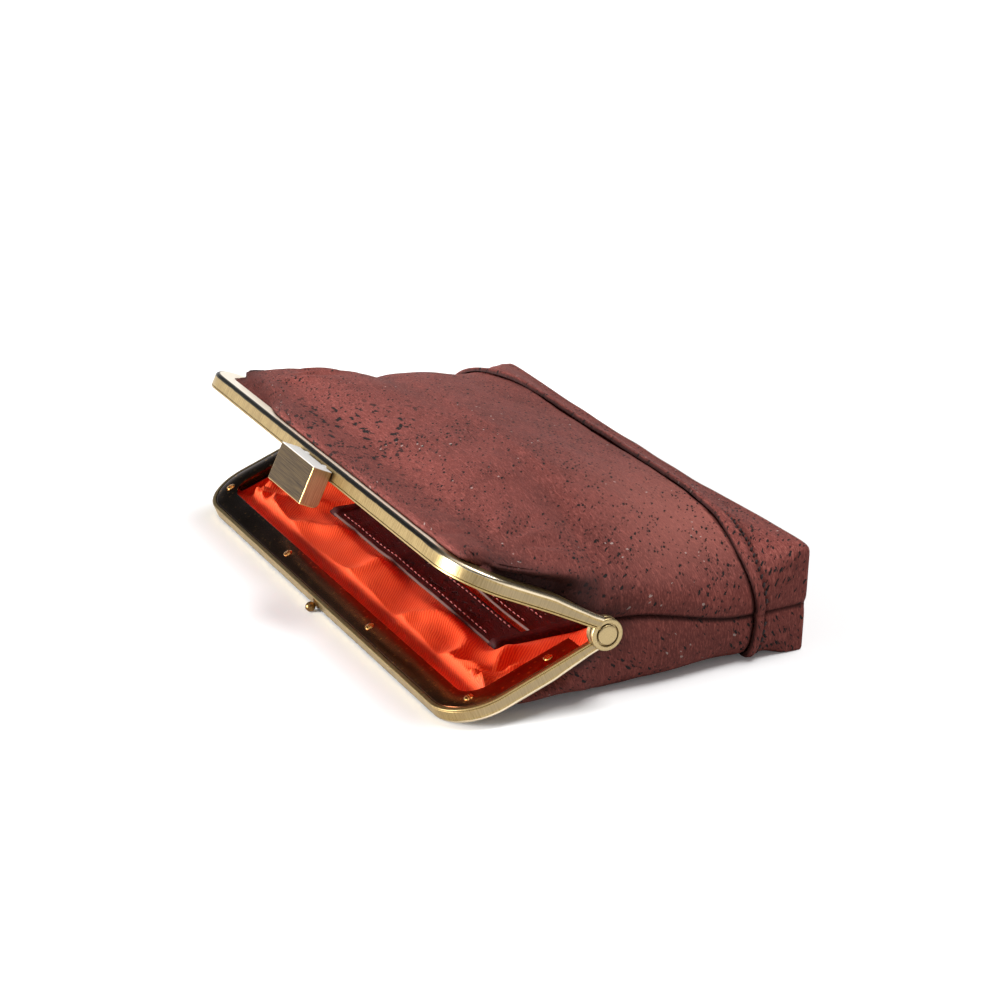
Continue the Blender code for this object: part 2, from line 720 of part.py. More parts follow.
def bag_surface(side, place, inset, rounding):
    """One row of points across one side of the bag.

    place runs from minus the frame's reach to the bag's depth, inset is the depth below
    the outer face of the cork, and rounding draws the row in at the bottom edge. In the
    mouth the height follows the depth inside the frame; behind the hinge the row is half
    of a superellipse.
    """
    tilt = FRONT_TILT if side > 0 else BACK_TILT
    shares = FRONT_HEIGHT_SHARES if side > 0 else BACK_HEIGHT_SHARES
    soft = SOFT_CORNER_POWER if side > 0 else UNDER_CORNER_POWER
    power = soft + (BOX_CORNER_POWER - soft) * smoothstep(place / BAND_LINE)
    angle = np.linspace(0, math.pi, SECTION_STEPS + 1)
    across = np.sign(np.cos(angle)) * np.abs(np.cos(angle)) ** (2 / power)
    up = np.abs(np.sin(angle)) ** (2 / power)

    draw = smoothstep((place + EDGE_DRAW_START) / EDGE_DRAW_LENGTH)
    width = front_width(place) + (rear_width(place) - front_width(place)) * draw - rounding
    x = width * across
    fall = smoothstep((place + EDGE_FALL_START) / EDGE_FALL_LENGTH)
    edge = GROOVE_TOP + (SEAM_EDGE - GROOVE_TOP) * fall
    scale = FRAME_REACH if place < 0 else BAG_DEPTH
    full = BAG_HEIGHT * smooth_table(shares, place / scale) - rounding
    rise = smoothstep((rim_depth(x, place) - FLANGE_WIDTH - CLEARANCE) / RISE_LENGTH)
    mix = smoothstep((place + SHAPE_START) / SHAPE_LENGTH)
    height = edge + (full - edge) * (rise + (up - rise) * mix)

    lean = tilt * (1 - smoothstep((place + TILT_START) / TILT_LENGTH))
    slant = BAG_LEAN * side * height / BAG_HEIGHT * smoothstep(place / BAG_DEPTH)
    y0, z0 = spine(np.float64(place), tilt, side)
    y = y0 + height * math.sin(lean) + slant
    z = z0 + side * height * math.cos(lean)
    if side < 0:
        z = np.maximum(z, -FLOOR_DROP + rounding)
    sink = inset * (1 - mix + mix * up)
    x = x - inset * mix * across
    y = y - sink * math.sin(lean)
    z = z - side * sink * math.cos(lean)
    return np.stack([x, y, z], axis=1)


def bag_rows(start, end, rounded):
    """Places of the rows from the rim to the band, closer round the frame's corners."""
    centre = FRAME_REACH - CORNER_RADIUS
    inner = CORNER_RADIUS - FABRIC_EDGE_INSET
    rows = []
    if start < -centre:
        for k in range(CORNER_STEPS):
            rows.append((-(centre + inner * math.cos(math.pi / 2 * k / CORNER_STEPS)), 0))
    last = end - BOTTOM_EDGE_ROUND if rounded else end
    stops = [-centre, -HINGE_ZONE, HINGE_ZONE, BAND_LINE - BAND_STEP_LENGTH, BAND_LINE]
    stops = [place for place in stops if start <= place < last] + [BAND_LINE + BAND_TUCK, last]
    stops = sorted(set(stops)) if rounded else stops[:-1]
    for first, second in zip(stops[:-1], stops[1:]):
        near = abs(first + second) < HINGE_ZONE or first >= BAND_LINE - BAND_STEP_LENGTH
        count = max(round((second - first) / (FINE_ROW_LENGTH if near else ROW_LENGTH)), 1)
        rows += [(first + (second - first) * k / count, 0) for k in range(count)]
    rows.append((last, 0))
    if rounded:
        for k in range(1, ROUND_STEPS + 1):
            angle = math.pi / 2 * k / ROUND_STEPS
            place = last + BOTTOM_EDGE_ROUND * math.sin(angle)
            rows.append((place, BOTTOM_EDGE_ROUND * (1 - math.cos(angle))))
    return rows


def layer_inset(layer, place):
    """Depth of a layer's outer face below the bag's outer face."""
    under = BAND_THICKNESS + CLEARANCE
    step = under * smoothstep((place - BAND_LINE + BAND_STEP_LENGTH) / BAND_STEP_LENGTH)
    slack = LINING_SLACK * smoothstep((place + EDGE_FALL_START) / EDGE_FALL_LENGTH)
    cork = CORK_THICKNESS + CLEARANCE + slack
    return {"band": 0, "panel": step, "lining": step + cork}[layer]


def shell_points(side, layer, rows, thickness, end_inset):
    outer, inner = [], []
    for place, rounding in rows:
        inset = layer_inset(layer, place)
        outer.append(bag_surface(side, place, inset, rounding))
        inside = bag_surface(side, place, inset + thickness, rounding)
        inner.append(inside)
    if end_inset:
        for row in inner[-(ROUND_STEPS + 1):]:
            row[:, 1] = row[:, 1] - thickness
    return np.array(outer), np.array(inner)


def shell_mesh(name, outer, inner, capped):
    """Joins an outer and an inner skin into one closed sheet, with a flat end if capped."""
    rows, across = outer.shape[:2]
    total = rows * across
    points = np.concatenate([outer.reshape(-1, 3), inner.reshape(-1, 3)])
    faces = []
    for row in range(rows - 1):
        for k in range(across - 1):
            a = row * across + k
            b = a + across
            for skin in (0, total):
                faces.append((skin + a, skin + a + 1, skin + b + 1))
                faces.append((skin + a, skin + b + 1, skin + b))
        for edge in (0, across - 1):
            a = row * across + edge
            faces.append((a, a + across, total + a + across, total + a))
    for k in range(across - 1):
        faces.append((k, k + 1, total + k + 1, total + k))
    end = (rows - 1) * across
    if capped:
        ring = list(range(end, end + across))
        faces.append(tuple(ring))
        faces.append(tuple(total + p for p in reversed(ring)))
        faces.append((end, end + across - 1, total + end + across - 1, total + end))
    else:
        for k in range(across - 1):
            faces.append((end + k, end + k + 1, total + end + k + 1, total + end + k))
    return closed_mesh(name, points, faces)


def half_name(side):
    return "front" if side > 0 else "back"


def add_bag_half(side, parent, hole_parent):
    """Panel, bottom band and lining of one side of the bag."""
    half = half_name(side)
    front_edge = -(FRAME_REACH - FABRIC_EDGE_INSET)
    panel_rows = bag_rows(front_edge, BAND_LINE + BAND_TUCK, False)
    outer, inner = shell_points(side, "panel", panel_rows, CORK_THICKNESS, False)
    panel_mesh = shell_mesh(f"{half}_panel", outer, inner, False)
    panel = add_object(f"{half}_panel", panel_mesh, "cork_wine", parent)
    band_rows = bag_rows(BAND_LINE, BAG_DEPTH, True)
    outer, inner = shell_points(side, "band", band_rows, BAND_THICKNESS, True)
    band = shell_mesh(f"{half}_bottom_band", outer, inner, True)
    add_object(f"{half}_bottom_band", band, "cork_wine", parent)
    lining_end = BAG_DEPTH - BAND_THICKNESS - CLEARANCE
    lining_rows = bag_rows(front_edge, lining_end, True)
    outer, inner = shell_points(side, "lining", lining_rows, LINING_THICKNESS, True)
    lining_mesh = shell_mesh(f"{half}_lining", outer, inner, True)
    lining = add_object(f"{half}_lining", lining_mesh, "lining_orange", parent)
    for sheet in (panel, lining):
        name = f"{sheet.name}_holes"
        helper = combine(sheet, name, screw_hole_cutter(name, side), "DIFFERENCE")
        helper.parent = hole_parent


def pocket_patch(name, start, length, low, high, stand_off, parent):
    """A strip of pocket cork on the back lining, from low to high in X, that follows it."""
    rows = max(round(length / ROW_LENGTH), 1)
    columns = max(round(POCKET_STEPS * (high - low) / POCKET_LENGTH), 1)
    outer, inner = [], []
    for k in range(rows + 1):
        place = start + length * k / rows
        lift = layer_inset("lining", place) + LINING_THICKNESS + CLEARANCE + stand_off
        for store, inset in ((outer, lift), (inner, lift + POCKET_THICKNESS)):
            line = bag_surface(-1, place, inset, 0)
            order = np.argsort(line[:, 0])
            x = np.linspace(low, high, columns + 1)
            y = np.interp(x, line[order, 0], line[order, 1])
            z = np.interp(x, line[order, 0], line[order, 2])
            store.append(np.stack([x, y, z], axis=1))
    mesh = shell_mesh(name, np.array(outer), np.array(inner), False)
    add_object(name, mesh, "pocket_cork", parent)


def add_card_pocket(parent):
    """A facing strip by the mouth, the pocket's front sheet behind the slot, bound ends."""
    start = -POCKET_MOUTH_PLACE
    end = POCKET_LENGTH / 2
    pocket_patch("pocket_facing_strip", start, POCKET_STRIP_WIDTH, -end, end, 0, parent)
    sheet = start + POCKET_STRIP_WIDTH + POCKET_SLOT
    pocket_patch("pocket_front_sheet", sheet, POCKET_DEPTH, -end, end, POCKET_STAND_OFF, parent)
    whole = POCKET_STRIP_WIDTH + POCKET_SLOT + POCKET_DEPTH
    low, high = end + CLEARANCE, end + CLEARANCE + POCKET_BINDING_WIDTH
    pocket_patch("pocket_right_binding", start, whole, low, high, 0, parent)
    pocket_patch("pocket_left_binding", start, whole, -high, -low, 0, parent)


def settle(rest):
    """Moves the whole object so that its base centre is at the origin."""
    bpy.context.view_layer.update()
    graph = bpy.context.evaluated_depsgraph_get()
    corners = []
    for obj in bpy.context.scene.objects:
        if obj.type != "MESH" or obj.hide_render:
            continue
        shape = obj.evaluated_get(graph)
        mesh = shape.to_mesh()
        points = np.empty(len(mesh.vertices) * 3, np.float32)
        mesh.vertices.foreach_get("co", points)
        world = np.array(shape.matrix_world)
        points = points.reshape(-1, 3) @ world[:3, :3].T + world[:3, 3]
        corners += [points.min(axis=0), points.max(axis=0)]
        shape.to_mesh_clear()
    low, high = np.min(corners, axis=0), np.max(corners, axis=0)
    rest.location = (-(low[0] + high[0]) / 2, -(low[1] + high[1]) / 2, -low[2])
    bpy.context.view_layer.update()


def build():
    clear_scene()
    rest = add_empty("hinge_line", (0, 0, 0), 0)
    front_axis = add_empty("front_half_axis", (0, 0, 0), -FRONT_TILT, rest)
    back_axis = add_empty("back_half_axis", (0, 0, 0), BACK_TILT, rest)
    add_front_frame(front_axis)
    add_plate("front", front_axis, 1)
    add_screws("front", front_axis, 1)
    add_clasp_block(front_axis)
    add_clasp_spring(front_axis)
    add_back_frame(back_axis)
    add_plate("back", back_axis, -1)
    add_screws("back", back_axis, -1)
    add_clasp_stud(back_axis)
    add_rivets(rest)
    add_bag_half(1, rest, front_axis)
    add_bag_half(-1, rest, back_axis)
    add_card_pocket(rest)
    settle(rest)


build()
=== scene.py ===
# %% [markdown]
# # A clip-frame clutch wallet
#
# The wallet lies on its back with its mouth open. Two halves of a brushed brass frame
# turn on rivets at both ends, a bag of wine-red cork fabric hangs in them, and an orange
# twill lining with a card pocket shows in the mouth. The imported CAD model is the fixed
# frame of this scene: its bodies move, and every finer piece rides on one of them.
# Everything is in metres, with +X along the hinge and +Z up.

import json
import math

import bmesh
import bpy
import numpy as np
from mathutils import Matrix, Vector


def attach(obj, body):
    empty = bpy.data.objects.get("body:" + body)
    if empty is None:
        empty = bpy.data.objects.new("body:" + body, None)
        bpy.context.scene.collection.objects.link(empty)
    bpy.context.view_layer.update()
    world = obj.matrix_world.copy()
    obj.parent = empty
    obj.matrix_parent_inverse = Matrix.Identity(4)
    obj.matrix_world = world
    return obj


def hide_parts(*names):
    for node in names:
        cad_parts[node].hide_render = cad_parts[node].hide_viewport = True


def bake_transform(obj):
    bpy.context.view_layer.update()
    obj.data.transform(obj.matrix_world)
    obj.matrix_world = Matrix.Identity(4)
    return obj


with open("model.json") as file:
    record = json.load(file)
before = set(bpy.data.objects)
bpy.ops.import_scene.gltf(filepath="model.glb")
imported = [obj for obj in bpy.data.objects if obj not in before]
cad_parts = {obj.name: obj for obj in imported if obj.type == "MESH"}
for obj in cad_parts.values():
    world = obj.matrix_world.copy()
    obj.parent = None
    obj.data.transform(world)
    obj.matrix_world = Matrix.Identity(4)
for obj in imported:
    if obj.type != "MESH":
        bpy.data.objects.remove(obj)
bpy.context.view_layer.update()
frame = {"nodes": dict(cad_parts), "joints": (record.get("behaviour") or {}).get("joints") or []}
hinge = np.array(frame["joints"][0]["pos_m"], float)
MM = 0.001

# %% [markdown]
# ## The camera
#
# The photograph was taken with a long lens from beyond the near end of the hinge, a
# little above the wallet. The lens and the place were fitted to the frame's corners, the
# screws and the block, so they are given here as plain numbers: the camera's own right,
# up and forward directions, and its distance from the hinge.

# %% Camera
RIGHT = (0.41986, 0.90625, -0.04930)
UP = (-0.30412, 0.19166, 0.93316)
FORWARD = (-0.85512, 0.37680, -0.35608)
SENSOR = 36.0
FOCAL_PIXELS = 2852.74
PHOTO_PIXELS = 1000

camera_data = bpy.data.cameras.new("camera")
camera_data.sensor_width = SENSOR
camera_data.lens = FOCAL_PIXELS * SENSOR / PHOTO_PIXELS
camera = bpy.data.objects.new("camera", camera_data)
bpy.context.scene.collection.objects.link(camera)
axes = np.eye(4)
axes[:3, 0], axes[:3, 1], axes[:3, 2] = RIGHT, UP, [-part for part in FORWARD]
axes[:3, 3] = hinge + np.array([648.96, -271.60, 271.72]) * MM
camera.matrix_world = Matrix(axes.tolist())
bpy.context.scene.camera = camera
print("camera lens", round(camera_data.lens, 1), "mm")

# %% [markdown]
# ## Light, floor and background
#
# A product photograph on white needs soft light. A broad sun from above and a little from
# behind gives the key light evenly, without the falloff of a near lamp, a second one shines
# low into the mouth, and the world gives a weak fill. To the camera the world is white, and
# reflections show a studio: white near the floor and overhead, with a dark room between,
# which gives the brass its contrast. The floor is white paper. It looks nearly white to the
# camera but throws less light back, so that the cork keeps its deep red.

# %% World, key light and floor
scene = bpy.context.scene
scene.view_settings.view_transform = "Standard"
FILL = 0.30
PAPER_SEEN, PAPER_LIT, PAPER_GLOW = 0.95, 0.55, 0.05
FLOOR_HALF = 3.0


def feed(socket, value):
    """Gives a shader socket a value, or a link from the output of another node."""
    if isinstance(value, bpy.types.NodeSocket):
        socket.id_data.links.new(value, socket)
    else:
        socket.default_value = value


def node(tree, kind, settings=None, **sockets):
    """Adds a shader node and gives its outputs. A socket is named with _ for a space."""
    made = tree.nodes.new("ShaderNode" + kind)
    for key, value in (settings or {}).items():
        setattr(made, key, value)
    for key, value in sockets.items():
        feed(made.inputs[key.replace("_", " ")], value)
    return made.outputs


def calc(operation, *values, kind="Math", **settings):
    """A math node of up to three values or links; gives its first output."""
    tree = next(value.id_data for value in values if isinstance(value, bpy.types.NodeSocket))
    made = node(tree, kind, {"operation": operation, **settings})[0]
    for socket, value in zip(made.node.inputs, values):
        feed(socket, value)
    return made


def times(first, second):
    return calc("MULTIPLY", first, second)


def times_plus(value, factor, shift):
    return calc("MULTIPLY_ADD", value, factor, shift)


def blended(factor, first, second, share=1.0):
    """Goes from the first colour to the second by a factor times a share, kept in 0 to 1."""
    factor = factor if share == 1.0 else times(factor, share)
    mixed = node(factor.id_data, "Mix", {"data_type": "RGBA", "clamp_factor": True})[2]
    for number, value in ((0, factor), (6, first), (7, second)):
        feed(mixed.node.inputs[number], value)
    return mixed


def new_finish(name):
    material = bpy.data.materials.new(name)
    material.use_nodes = True
    tree = material.node_tree
    return material, tree, tree.nodes["Principled BSDF"]


def surface(shader, height=None, strength=0.0, rise_mm=0.0, **sockets):
    """Feeds the shader's sockets, and a bump of this strength and height in mm."""
    for key, value in sockets.items():
        feed(shader.inputs[key.replace("_", " ")], value)
    if height is not None:
        bump = node(shader.id_data, "Bump", Height=height, Strength=strength, Distance=rise_mm * MM)
        feed(shader.inputs["Normal"], bump[0])


def grey(value):
    return (value, value, value, 1)


world = bpy.data.worlds.new("studio")
scene.world = world
world.use_nodes = True
rays = node(world.node_tree, "LightPath")
mirrored = calc("MAXIMUM", rays["Is Glossy Ray"], rays["Is Transmission Ray"])
looking = node(world.node_tree, "TexCoord")["Generated"]
room = node(world.node_tree, "ValToRGB", Fac=node(world.node_tree, "SeparateXYZ", Vector=looking)[2])[0]
shades = room.node.color_ramp.elements
shades[0].position, shades[0].color = 0.25, grey(1.0)
shades[1].position, shades[1].color = 0.34, grey(0.05)
for upward, value in ((0.74, 0.06), (0.88, 1.0)):
    shades.new(upward).color = grey(value)
level = times(mirrored, calc("SUBTRACT", room, FILL))
level = times_plus(rays["Is Camera Ray"], 1.0 - FILL, level)
background = world.node_tree.nodes["Background"]
feed(background.inputs["Strength"], calc("ADD", level, FILL))
feed(background.inputs["Color"], grey(1.0))


def sun(name, energy, wide, direction):
    """A lamp without falloff that shines from the given direction, as wide as a softbox."""
    data = bpy.data.lights.new(name, "SUN")
    data.energy = energy
    data.angle = math.radians(wide)
    lamp = bpy.data.objects.new(name, data)
    scene.collection.objects.link(lamp)
    lamp.rotation_mode = "QUATERNION"
    lamp.rotation_quaternion = Vector(direction).to_track_quat("Z", "Y")
    return data


key = sun("key", 2.5, 30, (0.10, 0.36, 1.0))
mouth_light = sun("mouth_light", 6.5, 28, (-0.25, -1.0, 0.25))

floor_mesh = bpy.data.meshes.new("floor")
corners = [(FLOOR_HALF * x, FLOOR_HALF * y, 0) for x, y in ((-1, -1), (1, -1), (1, 1), (-1, 1))]
floor_mesh.from_pydata(corners, [], [(0, 1, 2, 3)])
floor = bpy.data.objects.new("floor", floor_mesh)
scene.collection.objects.link(floor)
paper, tree, shader = new_finish("white_paper")
rays = node(tree, "LightPath")
seen = calc("MAXIMUM", rays["Is Camera Ray"], rays["Is Glossy Ray"])
glow = times(rays["Is Camera Ray"], PAPER_GLOW)
surface(shader, Base_Color=blended(seen, grey(PAPER_LIT), grey(PAPER_SEEN)), Emission_Strength=glow)
surface(shader, Emission_Color=grey(1.0), Roughness=1.0, Specular_IOR_Level=0.0)
floor_mesh.materials.append(paper)
print("key light", key.energy, "mouth light", mouth_light.energy, "fill", FILL)

# %% [markdown]
# ## From a grid of points to a mesh
#
# Every finer piece here is a surface worked out as a grid of points: rows one way,
# columns the other. One helper joins neighbouring points into quads, and another makes a
# closed piece of an outer and an inner grid, as cloth and plate are. Each corner of each
# face also gets a UV place in millimetres, so that weave, grain and brush lines follow
# the surface at their real size.

# %% Mesh helpers


def quads_of(rows, columns):
    """The four corners of each cell of a grid that is numbered row by row."""
    row, column = np.mgrid[0 : rows - 1, 0 : columns - 1]
    a = row * columns + column
    return np.stack([a, a + 1, a + columns + 1, a + columns], axis=-1).reshape(-1, 4)


def walked(points):
    """Distance walked along a line of points, from 0 at the first."""
    step = np.linalg.norm(np.diff(points, axis=0), axis=1)
    return np.concatenate([[0], np.cumsum(step)])


def lengths_of(grid):
    """Distances along the rows and along the middle column of a grid, in millimetres."""
    across = np.linalg.norm(np.diff(grid, axis=1), axis=2)
    across = np.concatenate([np.zeros((grid.shape[0], 1)), np.cumsum(across, axis=1)], axis=1)
    middle = grid.shape[1] // 2
    across = across - across[:, middle : middle + 1]
    along = walked(grid[:, middle])[:, None] + 0 * across
    return np.stack([across, along], axis=-1) / MM


def piece(name, points, faces, uv, finish, smooth_angle=40.0, merge=None, depth=None):
    """Makes an object of points, quads and a UV for each corner, with its faces turned out.

    depth, where given, is a number per point that paints light and shade: 0 on the open
    face, 1 deep in a fold, where shade is painted, and minus where a highlight is painted.
    """
    mesh = bpy.data.meshes.new(name)
    mesh.from_pydata(points.reshape(-1, 3).tolist(), [], faces.tolist())
    if depth is not None:
        values = mesh.attributes.new("depth", "FLOAT", "POINT").data
        values.foreach_set("value", depth.reshape(-1).astype(np.float32))
    layer = mesh.uv_layers.new(name="UVMap")
    layer.data.foreach_set("uv", uv.reshape(-1, 2)[faces].reshape(-1).astype(np.float32))
    work = bmesh.new()
    work.from_mesh(mesh)
    if merge:
        bmesh.ops.remove_doubles(work, verts=work.verts, dist=merge)
    bmesh.ops.recalc_face_normals(work, faces=work.faces)
    work.to_mesh(mesh)
    work.free()
    mesh.shade_smooth()
    if smooth_angle:
        mesh.set_sharp_from_angle(angle=math.radians(smooth_angle))
    made = bpy.data.objects.new(name, mesh)
    scene.collection.objects.link(made)
    mesh.materials.append(finish)
    return made


def both_ways(first, second):
    """A grid of UV places in mm from the rows' places and the columns' places in metres."""
    return np.stack(np.broadcast_arrays(first, second), axis=-1) / MM


def swept(name, rings, along, round_place, finish, **options):
    """A piece of rings of points that are carried along a path, row by row."""
    uv = both_ways(along[:, None], round_place[None, :])
    return piece(name, rings, quads_of(*rings.shape[:2]), uv, finish, **options)


def shell(name, outer, inner, finish, uv=None, depth=None, **options):
    """A closed sheet: the outer grid, the inner grid, and a rim that joins their edges."""
    if depth is not None:
        depth = np.concatenate([depth.reshape(-1), depth.reshape(-1)])
    rows, columns = outer.shape[:2]
    uv = lengths_of(outer) if uv is None else uv
    count = rows * columns
    quads = quads_of(rows, columns)
    edge = np.concatenate(
        [
            np.arange(columns),
            columns * np.arange(1, rows) + columns - 1,
            (rows - 1) * columns + np.arange(columns - 2, -1, -1),
            columns * np.arange(rows - 2, -1, -1),
        ]
    )
    rim = np.stack([edge[:-1], edge[1:], edge[1:] + count, edge[:-1] + count], axis=1)
    faces = np.concatenate([quads, quads + count, rim])
    both = np.concatenate([uv.reshape(-1, 2), uv.reshape(-1, 2)])
    points = np.concatenate([outer.reshape(-1, 3), inner.reshape(-1, 3)])
    return piece(name, points, faces, both, finish, depth=depth, **options)


def normals_of(grid):
    """Unit normals of a grid of points, from its neighbours along rows and columns."""
    normal = np.cross(np.gradient(grid, axis=1), np.gradient(grid, axis=0))
    length = np.linalg.norm(normal, axis=2, keepdims=True)
    return normal / np.maximum(length, 1e-12)


def smoothstep(value):
    value = np.clip(value, 0, 1)
    return value * value * (3 - 2 * value)


def grows(value, start, width):
    """0 up to a start and 1 from a width past it, both in mm, with a smooth step between."""
    return smoothstep((value - start * MM) / (width * MM))


def fades(value, start, width):
    """1 up to a start and 0 from a width past it, both in mm."""
    return 1 - grows(value, start, width)


def bell(distance, width):
    """1 at no distance and falling both ways as a bell, its width in mm."""
    return np.exp(-((distance / (width * MM)) ** 2))


def smooth_table(places, values, place):
    """A smooth curve through the values at some places, with level ends, for a whole array."""
    places, values = np.array(places, float), np.array(values, float)
    slopes = np.gradient(values, places)
    slopes[0] = slopes[-1] = 0
    k = np.clip(np.searchsorted(places, place) - 1, 0, len(places) - 2)
    span = places[k + 1] - places[k]
    t = np.clip((place - places[k]) / span, 0, 1)
    eased = t * t * (3 - 2 * t) * (values[k + 1] - values[k])
    lean = (t**3 - 2 * t**2 + t) * span * slopes[k] + (t**3 - t**2) * span * slopes[k + 1]
    return values[k] + eased + lean


def between(place, known, points):
    """Points of a line at these places, straight between those that are known."""
    return np.stack([np.interp(place, known, points[:, k]) for k in range(3)], axis=1)


def ripple(x, y, size, seed):
    """Smooth random hills between -1 and 1, with one hill about every size."""
    table = np.random.default_rng(seed).uniform(-1, 1, (64, 64))
    u, v = x / size + 20.37, y / size + 20.71
    i, j = np.floor(u).astype(int), np.floor(v).astype(int)
    s, t = smoothstep(u - i), smoothstep(v - j)
    i, j = i % 63, j % 63
    low = table[i, j] * (1 - s) + table[i + 1, j] * s
    high = table[i, j + 1] * (1 - s) + table[i + 1, j + 1] * s
    return low * (1 - t) + high * t


TILT = {1: math.radians(28.0), -1: math.radians(18.8)}


def from_half(points, side):
    """Carries points from the plane of a frame half to the scene. The front's side is 1."""
    angle = -side * TILT[side]
    x, y, z = np.moveaxis(np.asarray(points, float), -1, 0)
    c, s = math.cos(angle), math.sin(angle)
    return np.stack([x, y * c - z * s, y * s + z * c], axis=-1) + hinge


print("the frame halves are tilted by", np.degrees(list(TILT.values())).round(1), "degrees")

# %% [markdown]
# ## Finishes
#
# Cork fabric is a thin shaving of cork bark on cloth. Its face has fine streaks along the
# grain, soft patches of tone, and dark pores that are oval and lie along the grain. The
# face is divided into slanting cells that wander a little, and a pore is a pit in the
# middle of a cell. Only a share of the cells has one, and slow noise makes that share
# greater in some places. A few larger and ragged pores come where noise rises over a level,
# most of them about one place, and a third kind of cell gives pale chips. A panel also
# carries a number at each point, depth, that paints light and shade into the colour: at 1,
# in a seam or under a fold, the cork is painted dark as shade, and below 0 it is lightened
# by a painted highlight.

# %% Cork finish


def linear(red, green, blue):
    """A colour as read from a screen, 0 to 255, turned into the shader's linear values."""
    values = np.array([red, green, blue]) / 255
    values = np.where(values <= 0.04045, values / 12.92, ((values + 0.055) / 1.055) ** 2.4)
    return (*values.tolist(), 1)


def scaled(vector, x, y, z=1.0):
    return node(vector.id_data, "Mapping", Vector=vector, Scale=(x, y, z))[0]


def ramp(value, low, high):
    """0 at low and 1 at high, smooth between; low may be the greater of the two."""
    settings = {"interpolation_type": "SMOOTHSTEP"}
    return node(value.id_data, "MapRange", settings, Value=value, From_Min=low, From_Max=high)[0]


def noise(vector, scale, detail=2.0, rough=0.5, distortion=0.0):
    """Noise in two or three dimensions, by how many scales are given."""
    return node(
        vector.id_data, "TexNoise", {"noise_dimensions": f"{len(scale)}D"}, Vector=scaled(vector, *scale),
        Scale=1.0, Detail=detail, Roughness=rough, Distortion=distortion,
    )[0]


PORE_SLANT = math.radians(25)
LARGE_PORES_AT = (12, 30, 0)
# The first colour is a painted highlight and the last a painted shade, both laid on by the depth attribute;
# the middle one is the pale chips' own colour.
PAINTED_LIGHT_CORK, CHIPPED_CORK, SHADED_CORK = linear(186, 114, 102), linear(186, 168, 160), linear(30, 12, 11)


def pores(place, long, wide, share):
    """Oval pits, at most one to a cell of long by wide mm, in this share of the cells."""
    slanted = node(place.id_data, "Mapping", Vector=place, Rotation=(0, 0, -PORE_SLANT))[0]
    wander = times(noise(place, (1.1, 1.7)), 0.6)
    moved = calc("ADD", scaled(slanted, 1 / long, 1 / wide), wander, kind="VectorMath")
    cells = node(place.id_data, "TexVoronoi", {"voronoi_dimensions": "2D"}, Vector=moved, Scale=1.0)
    chance = node(place.id_data, "SeparateColor", Color=cells["Color"])
    reach = times_plus(chance[1], 0.18, 0.11)
    pit = calc("MULTIPLY", calc("SUBTRACT", reach, cells["Distance"]), 16.0, use_clamp=True)
    return times(pit, calc("LESS_THAN", chance[0], share))


def cork_finish(name, tone, streak, shade, pore, many, roughness, raw_edge=None):
    """Cork fabric: short streaks and patches of three tones, pores of three sizes, chips, and painted shade
    and highlight.
    """
    material, tree, shader = new_finish(name)
    place = node(tree, "UVMap")[0]
    depth = node(tree, "Attribute", {"attribute_name": "depth"})["Fac"]
    streaks = noise(place, (0.30, 1.8), 4.0, 0.66, 0.3)
    fibres = noise(place, (0.9, 4.6), 3.0, 0.6, 0.2)
    patches = noise(place, (0.06, 0.09), 3.0, 0.55, 0.6)
    crowd = noise(place, (0.035, 0.055), 1.0)
    colour = blended(ramp(patches, 0.40, 0.66), tone, shade, 0.6)
    colour = blended(ramp(streaks, 0.50, 0.66), colour, streak, 0.7)
    colour = blended(ramp(fibres, 0.54, 0.68), colour, streak, 0.6)
    colour = blended(ramp(fibres, 0.48, 0.34), colour, shade, 0.6)
    # Painted highlight: where depth is below 0, the cork is lightened as if lit.
    colour = blended(depth, colour, PAINTED_LIGHT_CORK, -0.9)
    share = times_plus(crowd, 1.1 * many, -0.23 * many)
    tiny = times(pores(place, 1.8, 0.85, times(share, 0.8)), 0.8)
    holes = calc("MAXIMUM", pores(place, 2.9, 1.25, share), tiny)
    away = calc("DISTANCE", scaled(place, 1.0, 1.5), LARGE_PORES_AT, kind="VectorMath").node.outputs["Value"]
    gathered = ramp(times_plus(crowd, 30, away), 60, 34)
    large = ramp(noise(place, (1 / 4.0, 1 / 2.1), 3.0, 0.55, 0.15), 0.609, 0.641)
    holes = calc("MAXIMUM", holes, times(large, gathered))
    colour = blended(holes, colour, pore)
    chips = pores(scaled(place, 1.13, 0.94), 1.9, 1.2, times(ramp(patches, 0.54, 0.70), 0.11))
    colour = blended(chips, colour, CHIPPED_CORK, 0.65)
    if raw_edge:
        from_edge = node(tree, "SeparateXYZ", Vector=place)[1]
        colour = blended(ramp(from_edge, 0.30, 0.16), colour, raw_edge)
    # Painted shade: where depth is above 0, in seams and folds, under the roll and round the lugs, the cork
    # goes dark.
    colour = blended(depth, colour, SHADED_CORK, 0.88)
    rough = times_plus(streaks, 0.16, roughness - 0.08)
    height = times_plus(holes, -1.1, times_plus(streaks, 0.45, times(fibres, 0.45)))
    surface(shader, height, 0.9, 0.26, Base_Color=colour, Roughness=rough, Specular_IOR_Level=0.18)
    return material


cork = cork_finish(
    "cork_wine", linear(114, 56, 50), linear(150, 82, 73), linear(90, 42, 37), linear(25, 19, 18), 1.0, 0.70
)
pocket_cork = cork_finish(
    "pocket_cork", linear(56, 12, 12), linear(80, 25, 24), linear(38, 7, 8), linear(18, 5, 6), 0.6, 0.55,
    raw_edge=linear(98, 74, 68),
)
print("cork finishes made")

# %% [markdown]
# ## Twill lining
#
# The lining is a ribbed twill: raised cords about 0.7 mm apart, on a slant. A sine of the
# place across the ribs gives the cord's round back, a finer wave along each rib gives the
# yarn crossings, and the colour goes deeper in the grooves. Painted shade darkens the
# valleys between the lining's folds, where the depth attribute is high.

# %% Lining finish


def wave(value, length):
    """A sine of a place in mm, moved to between 0 and 1."""
    return times_plus(calc("SINE", times(value, 2 * math.pi / length)), 0.5, 0.5)


